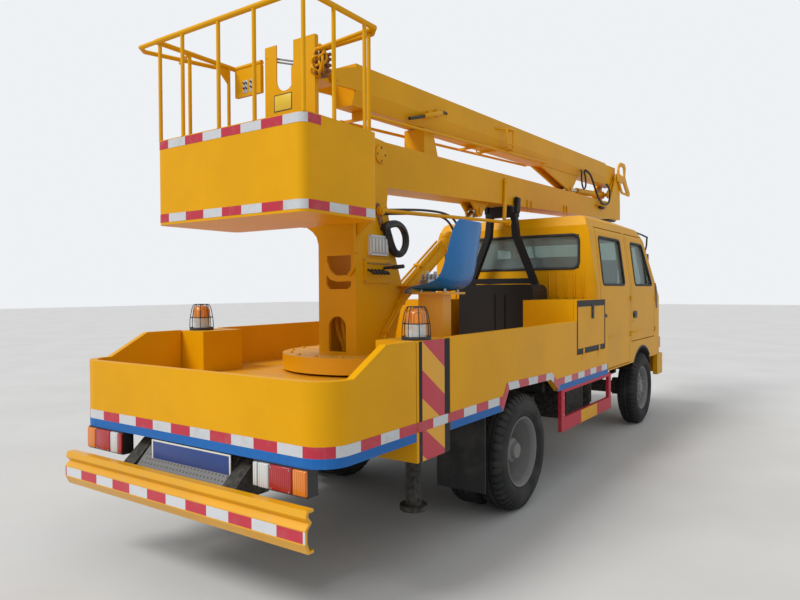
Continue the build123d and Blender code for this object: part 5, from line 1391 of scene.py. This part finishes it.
def lift_cylinder():
    """Gland, port blocks and supply pipes of the lift cylinder, and the two hoses from the turret."""
    gland = bar("gland", on_barrel(1.225), on_barrel(1.302), 0.0635, sides=32, bevel=0.004)
    band = bar("band", on_barrel(0.10), on_barrel(0.15), 0.060, sides=32, bevel=0.003)
    supply = [bar("supply", on_barrel(0.20, 0.070, y), on_barrel(1.12, 0.070, y), 0.009, sides=12)
              for y in (-0.022, 0.022)]
    clamps = [bar("clamp", on_barrel(d, 0.066, -0.036), on_barrel(d, 0.066, 0.036), 0.015, sides=10)
              for d in (0.4, 0.75)]
    blocks = []
    for d in PORTS:
        inside, outside = on_barrel(d, PORT_OFF, -0.040), on_barrel(d, PORT_OFF, -0.096)
        blocks.append(bar("port", inside, outside, 0.018, 0.015, 6, 0.002))
    fittings = merge("lift_fittings", [gland, band] + supply + clamps + blocks)
    dress(fittings, "yellow", "lift_barrel")
    y = -0.156
    routes = (((-0.520, y, 1.985), (-0.260, y, 2.012), (0.000, y, 2.034), (0.240, y, 2.038),
               (0.360, y, 2.000), (0.440, y, 1.920), (0.474, -0.144, 1.842)),
              ((-0.520, y, 2.012), (-0.260, y, 2.040), (0.000, y, 2.062), (0.270, y, 2.068),
               (0.420, y, 2.040), (0.510, y, 1.960), (0.540, -0.144, 1.884)))
    for number, (route, port) in enumerate(zip(routes, PORTS)):
        points = route + (on_barrel(port, PORT_OFF, -0.093),)
        hose = pipe(f"lift_hose_{number}", points, sizes().hose)
        dress(hose, "hose", None, 60)
        at(-0.30, -0.15, 2.03)
        at(0.40, -0.04, 1.95)
        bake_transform(hose)


def hoop(name, x0, x1, y, top, foot, radius=0.006):
    """A thin U of bar hanging at one side of a boom."""
    return pipe(name, ((x0, y, top), (x0, y, foot), (x1, y, foot), (x1, y, top)), radius, False)


def lower_boom_fittings():
    """Hose hangers, a bracket, pads and the hose round the end of the lower boom."""
    hangers = [hoop("hanger", 1.90, 2.00, -0.136, 2.350, 2.238),
               hoop("hanger", 2.90, 2.98, -0.136, 2.40, 2.30)]
    bracket = slab("bracket", 3.96, 4.34, -0.172, -0.129, 2.515, 2.523, 0.001)
    dress(merge("lower_boom_hangers", hangers + [bracket]), "yellow", "lower_boom")
    pad = slab("pad", 4.62, 4.92, -0.100, 0.100, 2.384, 2.404, 0.004)
    grommet = slab("grommet", 4.10, 4.24, -0.168, -0.134, 2.486, 2.514, 0.004)
    dress(merge("lower_boom_pads", [pad, grommet]), "rubber", "lower_boom")
    end = pipe("boom_end_hose", ((5.036, -0.060, 2.680), (5.085, -0.066, 2.650), (5.128, -0.070, 2.560),
                                 (5.118, -0.070, 2.470), (5.036, -0.060, 2.418)), 0.015)
    dress(end, "hose", "lower_boom", 60)


def upper_boom_fittings():
    """Bar frame, hanger, spray tube with its lines and clips of the upper boom."""
    y = -0.165
    rear, front = 1.385, 1.510
    low, high = 2.764, 2.942
    outline = ((rear, y, low), (rear, y, 2.935), (front, y, high), (front, y, low), (rear, y, low))
    pieces = [pipe("frame", outline, 0.008, False),
              bar("rung", (rear, y, 2.806), (front, y, 2.806), 0.007, sides=10)]
    for start, end in (((1.26, -0.104, 2.925), (front, y, high)), ((front, -0.104, high), (front, y, high)),
                       ((rear, -0.075, low), (rear, y, low)), ((front, -0.075, 2.768), (front, y, low))):
        pieces.append(bar("arm", start, end, 0.008, sides=10))
    pieces.append(hoop("hanger", 0.87, 0.95, -0.125, 2.706, 2.640))
    pieces.append(bar("tube", (0.050, -0.120, 2.765), (0.300, -0.120, 2.845), 0.020, sides=18, bevel=0.003))
    pieces.append(slab("saddle", 0.10, 0.13, -0.135, -0.098, 2.765, 2.815, 0.002))
    pieces.append(slab("saddle", 0.22, 0.25, -0.135, -0.100, 2.803, 2.853, 0.002))
    dress(merge("upper_boom_brackets", pieces), "yellow", "upper_boom")
    lines = [pipe("line", ((-0.130, -0.110, 2.712), (-0.060, -0.118, 2.730), (0.052, -0.120, 2.766)), 0.0115),
             pipe("line", ((0.298, -0.120, 2.844), (0.340, -0.122, 2.866), (0.400, -0.110, 2.862)), 0.0095)]
    dress(merge("upper_boom_lines", lines), "hose", "upper_boom", 60)
    clips = [bar("clip", (x, -0.03, z), (x, 0.03, z), 0.010, sides=10)
             for x, z in ((0.9, 2.990), (2.45, 3.042), (4.2, 3.100))]
    dress(merge("upper_boom_clips", clips), "yellow", "upper_boom")


def horns():
    """Side horns of the trestle, which keep the folded boom in its middle."""
    for name, side in SIDES.items():
        outline = [(side * y, z) for y, z in ((0.137, 2.196), (0.168, 2.196), (0.176, 2.330), (0.160, 2.344),
                                              (0.141, 2.335))]
        horn = plate(f"trestle_horn_{name}", outline, "x", REAR_X + 1.583, REAR_X + 1.657, 0.002, 1)
        dress(horn, "black", "truck")


def elbow_fittings():
    """Two slack loops of hose that hang from the upper boom near the elbow, and the elbow pin's cap."""
    first = pipe("boom_loop_hose", ((3.560, -0.100, 2.885), (3.500, -0.128, 2.860), (3.470, -0.132, 2.790),
                                    (3.500, -0.130, 2.700), (3.570, -0.128, 2.655), (3.635, -0.130, 2.700),
                                    (3.655, -0.122, 2.800), (3.660, -0.100, 2.900)), 0.010)
    dress(first, "hose", "upper_boom", 60)
    second = pipe("elbow_loop_hose", ((3.680, -0.100, 2.910), (3.730, -0.138, 2.885), (3.810, -0.150, 2.810),
                                      (3.930, -0.154, 2.680), (4.070, -0.154, 2.584), (4.240, -0.154, 2.548),
                                      (4.400, -0.154, 2.562), (4.480, -0.154, 2.620), (4.515, -0.150, 2.710),
                                      (4.525, -0.138, 2.800), (4.526, -0.100, 2.850)), 0.012)
    dress(second, "hose", "upper_boom", 60)
    cap = bar("elbow_cap", (4.930, 0.138, 2.950), (4.930, 0.150, 2.950), 0.046, sides=24, bevel=0.002)
    dress(cap, "yellow", "elbow")


def basket_controls():
    """Plates and toggles on the basket's panel, its lever with the links, and the blank label."""
    rear = -1.160
    plates = [slab("plate", rear - 0.003, rear + 0.001, y0, y1, 2.742, 2.822, 0.001)
              for y0, y1 in ((0.367, 0.419), (0.438, 0.482))]
    dress(merge("panel_plates", plates), "grey_plate", "basket")
    toggles = [bar("toggle", (rear + 0.001, y, z), (rear - 0.018, y, z + 0.006), 0.006, 0.004, 10, 0.001)
               for y in (0.38, 0.405, 0.45, 0.47) for z in (2.768, 2.80)]
    grip = bar("grip", (-1.128, 0.292, 2.932), (-1.118, 0.236, 2.916), 0.014, 0.012, 14, 0.003)
    knuckle = slab("knuckle", -1.134, -1.112, 0.222, 0.250, 2.900, 2.928, 0.003)
    levers = merge("basket_levers", toggles + [grip, knuckle])
    dress(levers, "black_plastic", "basket")
    links = [bar("link", (-1.122, 0.235, z), (-1.020, 0.100, z - 0.022), 0.006, sides=12, bevel=0.001)
             for z in (2.905, 2.925)]
    dress(merge("basket_links", links), "steel", "basket")
    label = slab("basket_label", -1.1415, -1.1395, 0.080, 0.222, 2.588, 2.684, 0.0005)
    dress(label, "label", "basket")
    edge = [slab("edge", -1.1422, -1.1395, *span, 0.0004)
            for span in border((0.076, 2.584), (0.226, 2.688), 0.005, 0.005, 0.005, 0.001)]
    dress(merge("basket_label_edge", edge), "black_plastic", "basket")


def basket_hydraulics():
    """Valve block with its unions beside the column, and the coil of hose."""
    core = slab("core", -1.136, -1.078, -0.176, -0.112, 2.742, 2.884, 0.006)
    columns = (-0.160, -0.130)
    unions = [bar("union", (-1.108, -0.174, z), (-1.108, -0.208, z), 0.013, 0.011, 6, 0.002)
              for z in (2.765, 2.800, 2.835, 2.865)]
    unions += [bar("union", (-1.134, y, z), (-1.160, y, z), 0.012, 0.010, 6, 0.002)
               for y in columns for z in (2.760, 2.792, 2.824, 2.858)]
    unions += [bar("union", (-1.107, y, 2.882), (-1.107, y, 2.915), 0.011, 0.009, 6, 0.002) for y in columns]
    dress(merge("basket_valve", [core] + unions), "rust", "basket")
    coil = []
    for number in range(4):
        centre = (-0.145 - 0.012 * (number % 2), 2.780 + 0.032 * number)
        turn = arc(centre, 0.040 + 0.005 * (number % 3), 0, 340, 14)
        points = [(-1.150 + 0.022 * math.sin(4.0 * y / 0.05 + 2.1 * number), y, z) for y, z in turn]
        coil.append(pipe("coil", points, 0.0075, True, 2, True))
    dress(merge("basket_coil", coil), "yellow", "basket", 60)


def basket_braces():
    """Brace and gusset of the basket's rails, and the bolts of its column."""
    brace = bar("brace", (-1.430, 0.760, 2.915), (-1.505, 0.573, 2.915), 0.010, sides=14)
    corner = beyond(REAR_X, ((-1.315, 2.904), (-1.195, 2.904), (-1.195, 2.790)))
    gusset = plate("gusset", corner, "y", 0.570, 0.576)
    bolts = [bar("bolt", (-1.107, y, z), (-1.098, y, z), 0.009, sides=6, bevel=0.001)
             for y in (-0.095, -0.010) for z in (2.05, 2.25)]
    dress(merge("basket_braces", [brace, gusset] + bolts), "yellow", "basket")


class TRUCK_OT_arm(bpy.types.Operator):
    """Model the fittings of the cylinders, the booms, the elbow and the basket"""
    bl_idname = "truck.arm"
    bl_label = "Arm and basket fittings"

    def execute(self, context):
        lift_cylinder()
        lower_boom_fittings()
        upper_boom_fittings()
        horns()
        elbow_fittings()
        basket_controls()
        basket_hydraulics()
        basket_braces()
        return {"FINISHED"}


# Cab

# Half the cab's width at its doors, the height above which its sides lean in, the outlines of the doors'
# windows as (x, z) from the front axle, and the radius of the large windows' seals
CAB_HALF = 0.850
SILL_Z = 1.5
REAR_PANE = ((-1.375, 1.515), (-0.670, 1.515), (-0.690, 1.965), (-1.365, 1.965))
FRONT_PANE = ((-0.285, 1.515), (0.430, 1.515), (0.160, 1.965), (-0.300, 1.965))
SCREEN_SEAL_R = 0.0135


def cab_slab(name, x0, x1, y0, y1, z0, z1, bevel=0.0, segments=2):
    """A block whose x is measured from the front axle."""
    return block(name, ahead(x0, y0, z0), ahead(x1, y1, z1), bevel, segments)


def cab_bar(name, start, end, radius, tip=None, sides=20, bevel=0.0):
    """A round bar between two places whose x is measured from the front axle."""
    return rod(name, ahead(*start), ahead(*end), radius, tip, sides, bevel)


def side_y(z, out=0.0):
    """How far the cab's side reaches at a height: it leans in above the windows' sills."""
    return CAB_HALF - max(z - SILL_Z, 0.0) * 0.060 / 0.51 + out


def seal(name, outline, radius, body):
    """Rubber seal round a window, from places on the cab's skin."""
    dress(tube(name, outline, radius, False, 3, True), "rubber", body, 60)


def door_seals():
    """Seals round the four doors' windows, and the bar of the front ones' quarter light."""
    bar_x, foot, head = 0.235, 1.53, 1.83
    for row, pane in (("rear", REAR_PANE), ("front", FRONT_PANE)):
        for name, side in SIDES.items():
            body = f"door_{row}_{name}"
            points = [ahead(p.x, side * side_y(p.y, -0.004), p.y) for p in rounded(pane, 0.05)]
            seal(f"pane_seal_{row}_{name}", points, sizes().seal / 2, body)
            if row == "front":
                ends = [(bar_x, side * side_y(z, -0.012), z) for z in (foot, head)]
                post = cab_bar(f"quarter_bar_{name}", *ends, 0.008, sides=10)
                dress(post, "rubber", body)


def screen_seals():
    """Seals round the rear window and the windscreen, on their slanting planes."""
    half = CAB_HALF - 0.150
    rear = -1.618
    points = []
    for p in rounded(((-half, 1.665), (half, 1.665), (half, 1.975), (-half, 1.975)), 0.07):
        points.append(ahead(rear + (p.y - 0.7) * 0.00735 + 0.003, p.x, p.y))
    seal("rear_window_seal", points, SCREEN_SEAL_R, "truck")
    head, foot = Vector((0.240, 2.035)), Vector((0.615, 1.525))
    points = []
    for p in rounded(((-half, 0.0), (half, 0.0), (half, 1.0), (-half, 1.0)), 0.08):
        share = min(max(p.y, 0.0), 1.0)
        place = head + (foot - head) * share
        points.append(ahead(place.x - 0.004, p.x, place.y - 0.003))
    seal("windscreen_seal", points, SCREEN_SEAL_R, "truck")


def door_furniture():
    """Handles, locks and pressed rub lines of the four doors."""
    for name, side in SIDES.items():
        y = side * CAB_HALF
        for row, x0 in (("front", -0.374), ("rear", -1.420)):
            door_handle(row, name, x0, y, side)
        inside, outside = y - side * 0.002, y + side * 0.004
        for row, x0, x1 in (("front", -0.405, 0.500), ("rear", -1.445, -0.510)):
            swage = cab_slab(f"swage_{row}_{name}", x0, x1, inside, outside, 1.006, 1.034, 0.004)
            dress(swage, "yellow", f"door_{row}_{name}")


def door_handle(row, name, x0, y, side):
    """Recessed cup with its flap, and the lock below it."""
    body = f"door_{row}_{name}"
    z0 = 1.165
    x1, z1 = x0 + 0.150, z0 + 0.078
    outline = rounded(beyond(FRONT_X, ((x0, z0), (x1, z0), (x1, z1), (x0, z1))), 0.034)
    cup = plate("cup", [(p.x, p.y) for p in outline], "y", y - side * 0.001, y + side * 0.006, 0.002, 1)
    flap = cab_slab("flap", x0 + 0.018, x0 + 0.128, y + side * 0.005, y + side * 0.014,
                    z0 + 0.022, z0 + 0.056, 0.005, 3)
    dress(merge(f"door_handle_{row}_{name}", [cup, flap]), "black_plastic", body)
    lock_x, lock_z = x0 + 0.03, z0 - 0.028
    lock = cab_bar(f"door_lock_{row}_{name}", (lock_x, y, lock_z), (lock_x, y + side * 0.005, lock_z), 0.011,
                   sides=18)
    dress(lock, "steel", body)


def on_arch(radius, degrees):
    """Side-view points round the front axle, at angles in degrees."""
    turns = [math.radians(angle) for angle in degrees]
    return [(FRONT_X + radius * math.cos(turn), WHEEL_R + radius * math.sin(turn)) for turn in turns]


def cab_trim():
    """Pressings of the rear wall, wheel-arch lips and liners, the pillars' trim and the wipers."""
    beads = [bar("bead", (1.7435, side * y, 1.40), (1.7455, side * y, 1.62), 0.009, sides=10, bevel=0.002)
             for side in (1, -1) for y in (0.42, 0.50, 0.58, 0.66, 0.74)]
    dress(merge("rear_wall_beads", beads), "yellow", "truck")
    for name, side in SIDES.items():
        path = [(x, side * 0.846, z) for x, z in on_arch(0.462, range(48, 148, 5))]
        lip = tube(f"arch_lip_{name}", path, 0.011, True, 2)
        dress(lip, "black_plastic", "truck", 60)
        shell = on_arch(0.448, range(32, 149, 6)) + on_arch(0.454, range(148, 31, -6))
        liner = plate(f"arch_liner_{name}", shell, "y", side * 0.500, side * 0.842, 0, 1)
        dress(liner, "black_plastic", "truck", 60)
        outline = beyond(FRONT_X, ((0.640, 1.490), (0.585, 1.545), (0.560, 1.470), (0.615, 1.25),
                                   (0.655, 1.25)))
        inside, outside = side * (CAB_HALF - 0.001), side * (CAB_HALF + 0.0035)
        pillar = plate(f"pillar_trim_{name}", outline, "y", inside, outside, 0.001, 1)
        dress(pillar, "black_plastic", "truck")
    wipers = []
    for y in (0.42, -0.22):
        elbow, end = ahead(0.640, y + 0.02, 1.512), ahead(0.560, y + 0.20, 1.622)
        wipers.append(tube("arm", [ahead(0.650, y, 1.470), elbow, end], 0.007, True, 2))
        wipers.append(cab_bar("blade", (0.600, y - 0.02, 1.560), (0.530, y + 0.46, 1.655), 0.008, sides=8))
        wipers.append(cab_bar("boss", (0.630, y, 1.470), (0.662, y, 1.485), 0.018, sides=14, bevel=0.003))
    dress(merge("wipers", wipers), "black_plastic", "truck")


def front_lamps():
    """Headlamps with their reflectors, and the corner lamps."""
    front, z = 0.930, 0.825
    for name, side in SIDES.items():
        rim = cab_slab(f"lamp_rim_{name}", front - 0.012, front + 0.004, side * 0.524, side * 0.761,
                       0.749, 0.901, 0.006)
        dress(rim, "black_plastic", "truck")
        for number, distance in enumerate((0.585, 0.700)):
            y = side * distance
            bowl = cab_bar(f"reflector_{name}_{number}", (front + 0.0035, y, z), (front + 0.006, y, z),
                           0.052, 0.046, 32)
            dress(bowl, "chrome", "truck")
            glass = cab_bar(f"headlamp_glass_{name}_{number}", (front + 0.0055, y, z), (front + 0.014, y, z),
                            0.054, 0.040, 32, 0.002)
            dress(glass, "headlamp", "truck")
        corner = cab_slab(f"corner_lamp_{name}", 0.828, 0.893, side * 0.780, side * 0.838,
                          0.760, 0.900, 0.014, 3)
        dress(corner, "orange_lens", "truck")


def front_plate():
    """Blank blue plate with a pale edge on the front bumper."""
    rear = 1.0405
    face = cab_slab("front_plate", rear, 1.044, -0.22, 0.22, 0.52, 0.64, 0.001, 1)
    dress(face, "blue_plate", "truck")
    edge = [cab_slab("edge", rear, 1.0448, *span, 0.0005, 1)
            for span in border((-0.226, 0.514), (0.226, 0.646), 0.007, 0.007, 0.007, 0.001)]
    dress(merge("front_plate_edge", edge), "white_plastic", "truck")


def mirror_glass():
    """Bright glass on the back of each mirror, with its clamp on the tube."""
    for name, side in SIDES.items():
        pane = cab_slab(f"mirror_glass_{name}", 0.6865, 0.6885, side * 0.648, side * 0.732,
                        1.727, 1.878, 0.0008, 1)
        dress(pane, "mirror", "truck")
        clamp = cab_slab(f"mirror_clamp_{name}", 0.690, 0.720, side * 0.678, side * 0.706,
                         1.884, 1.915, 0.004)
        dress(clamp, "black_plastic", "truck")


class TRUCK_OT_cab(bpy.types.Operator):
    """Model the cab's seals, handles, lamps, wipers and mirror glass"""
    bl_idname = "truck.cab"
    bl_label = "Cab fittings"

    def execute(self, context):
        door_seals()
        screen_seals()
        door_furniture()
        cab_trim()
        front_lamps()
        front_plate()
        mirror_glass()
        return {"FINISHED"}


# Stage

def light_stage():
    """Even light from a world that shows as a pale backdrop, also through glass, and one soft sun."""
    stage = bpy.context.scene.truck_stage
    s = Shader("studio", "worlds")
    bpy.context.scene.world = s.owner
    camera = s.node("ShaderNodeLightPath", output="Is Camera Ray")
    glass = s.node("ShaderNodeLightPath", output="Is Transmission Ray")
    even = s.node("ShaderNodeBackground", {0: (0.92, 0.96, 1.0, 1), 1: stage.sky})
    shown = s.node("ShaderNodeBackground", {0: (0.86, 0.88, 0.91, 1), 1: 1.0})
    blend = s.node("ShaderNodeMixShader", {0: camera.math("MAXIMUM", glass), 1: even, 2: shown})
    s.node("ShaderNodeOutputWorld", {0: blend})
    clear()
    bpy.ops.object.light_add(type="SUN", rotation=(math.radians(42), 0, math.radians(-118)))
    sun = bpy.context.object
    sun.name = "soft_sun"
    sun.data.energy = stage.sun
    sun.data.angle = math.radians(22)


def make_floor():
    """A wide pale floor."""
    s = Shader("pale floor")
    cloud = s.noise(0.8, 4)
    base = s.mix(cloud.ramp(0.3, 0.7), (0.56, 0.55, 0.53, 1), (0.60, 0.59, 0.57, 1))
    material = s.finish(Base_Color=base, Roughness=cloud * 0.1 + 0.8)
    clear()
    bpy.ops.mesh.primitive_plane_add(size=120)
    floor = settle("floor")
    floor.data.materials.append(material)


def make_camera():
    """The photograph's camera, turned by its yaw, pitch and roll."""
    stage = bpy.context.scene.truck_stage
    heading = Vector((math.cos(stage.yaw), math.sin(stage.yaw), 0))
    forward = heading * math.cos(stage.pitch) + Vector((0, 0, math.sin(stage.pitch)))
    level = Vector((math.sin(stage.yaw), -math.cos(stage.yaw), 0))
    raised = level.cross(forward)
    right = level * math.cos(stage.roll) + raised * math.sin(stage.roll)
    up = raised * math.cos(stage.roll) - level * math.sin(stage.roll)
    clear()
    bpy.ops.object.camera_add(location=at(*stage.place))
    camera = bpy.context.object
    camera.name = "photo_camera"
    camera.rotation_euler = Matrix((right, up, -forward)).transposed().to_euler()
    camera.data.sensor_width = 36
    camera.data.sensor_fit = "HORIZONTAL"
    camera.data.lens = stage.lens
    camera.data.clip_end = 300
    bpy.context.scene.camera = camera
    bpy.context.scene.view_settings.view_transform = "Standard"


class TRUCK_OT_stage(bpy.types.Operator):
    """Make the camera, the light and the floor"""
    bl_idname = "truck.stage"
    bl_label = "Stage"

    def execute(self, context):
        make_camera()
        light_stage()
        make_floor()
        return {"FINISHED"}


class TRUCK_OT_finishes(bpy.types.Operator):
    """Make the materials and give each frame piece its own"""
    bl_idname = "truck.finishes"
    bl_label = "Finishes"

    def execute(self, context):
        make_materials()
        finish_nodes()
        return {"FINISHED"}


OPERATORS = [TRUCK_OT_stage, TRUCK_OT_finishes, TRUCK_OT_tapes, TRUCK_OT_wheels, TRUCK_OT_deck,
             TRUCK_OT_turntable, TRUCK_OT_arm, TRUCK_OT_cab]


class TRUCK_PT_panel(bpy.types.Panel):
    """Lists the sizes, the colours and the steps that build the truck"""
    bl_label = "Aerial platform truck"
    bl_idname = "TRUCK_PT_panel"
    bl_space_type = "VIEW_3D"
    bl_region_type = "UI"
    bl_category = "Truck"

    def draw(self, context):
        for group in (context.scene.truck_sizes, context.scene.truck_colours, context.scene.truck_stage):
            for name in group.bl_rna.properties.keys():
                if name not in ("rna_type", "name"):
                    self.layout.prop(group, name)
        for operator in OPERATORS:
            self.layout.operator(operator.bl_idname)


CLASSES = [TruckColours, TruckSizes, TruckStage, *OPERATORS, TRUCK_PT_panel]


def register():
    """Registers the classes and gives every scene its settings."""
    for item in CLASSES:
        bpy.utils.register_class(item)
    bpy.types.Scene.truck_colours = bpy.props.PointerProperty(type=TruckColours)
    bpy.types.Scene.truck_sizes = bpy.props.PointerProperty(type=TruckSizes)
    bpy.types.Scene.truck_stage = bpy.props.PointerProperty(type=TruckStage)


def unregister():
    """Removes the settings and the classes."""
    del bpy.types.Scene.truck_colours
    del bpy.types.Scene.truck_sizes
    del bpy.types.Scene.truck_stage
    for item in reversed(CLASSES):
        bpy.utils.unregister_class(item)


def main():
    """Builds the truck through its operators."""
    register()
    for operator in OPERATORS:
        group, name = operator.bl_idname.split(".")
        getattr(getattr(bpy.ops, group), name)()


if __name__ == "__main__":
    main()
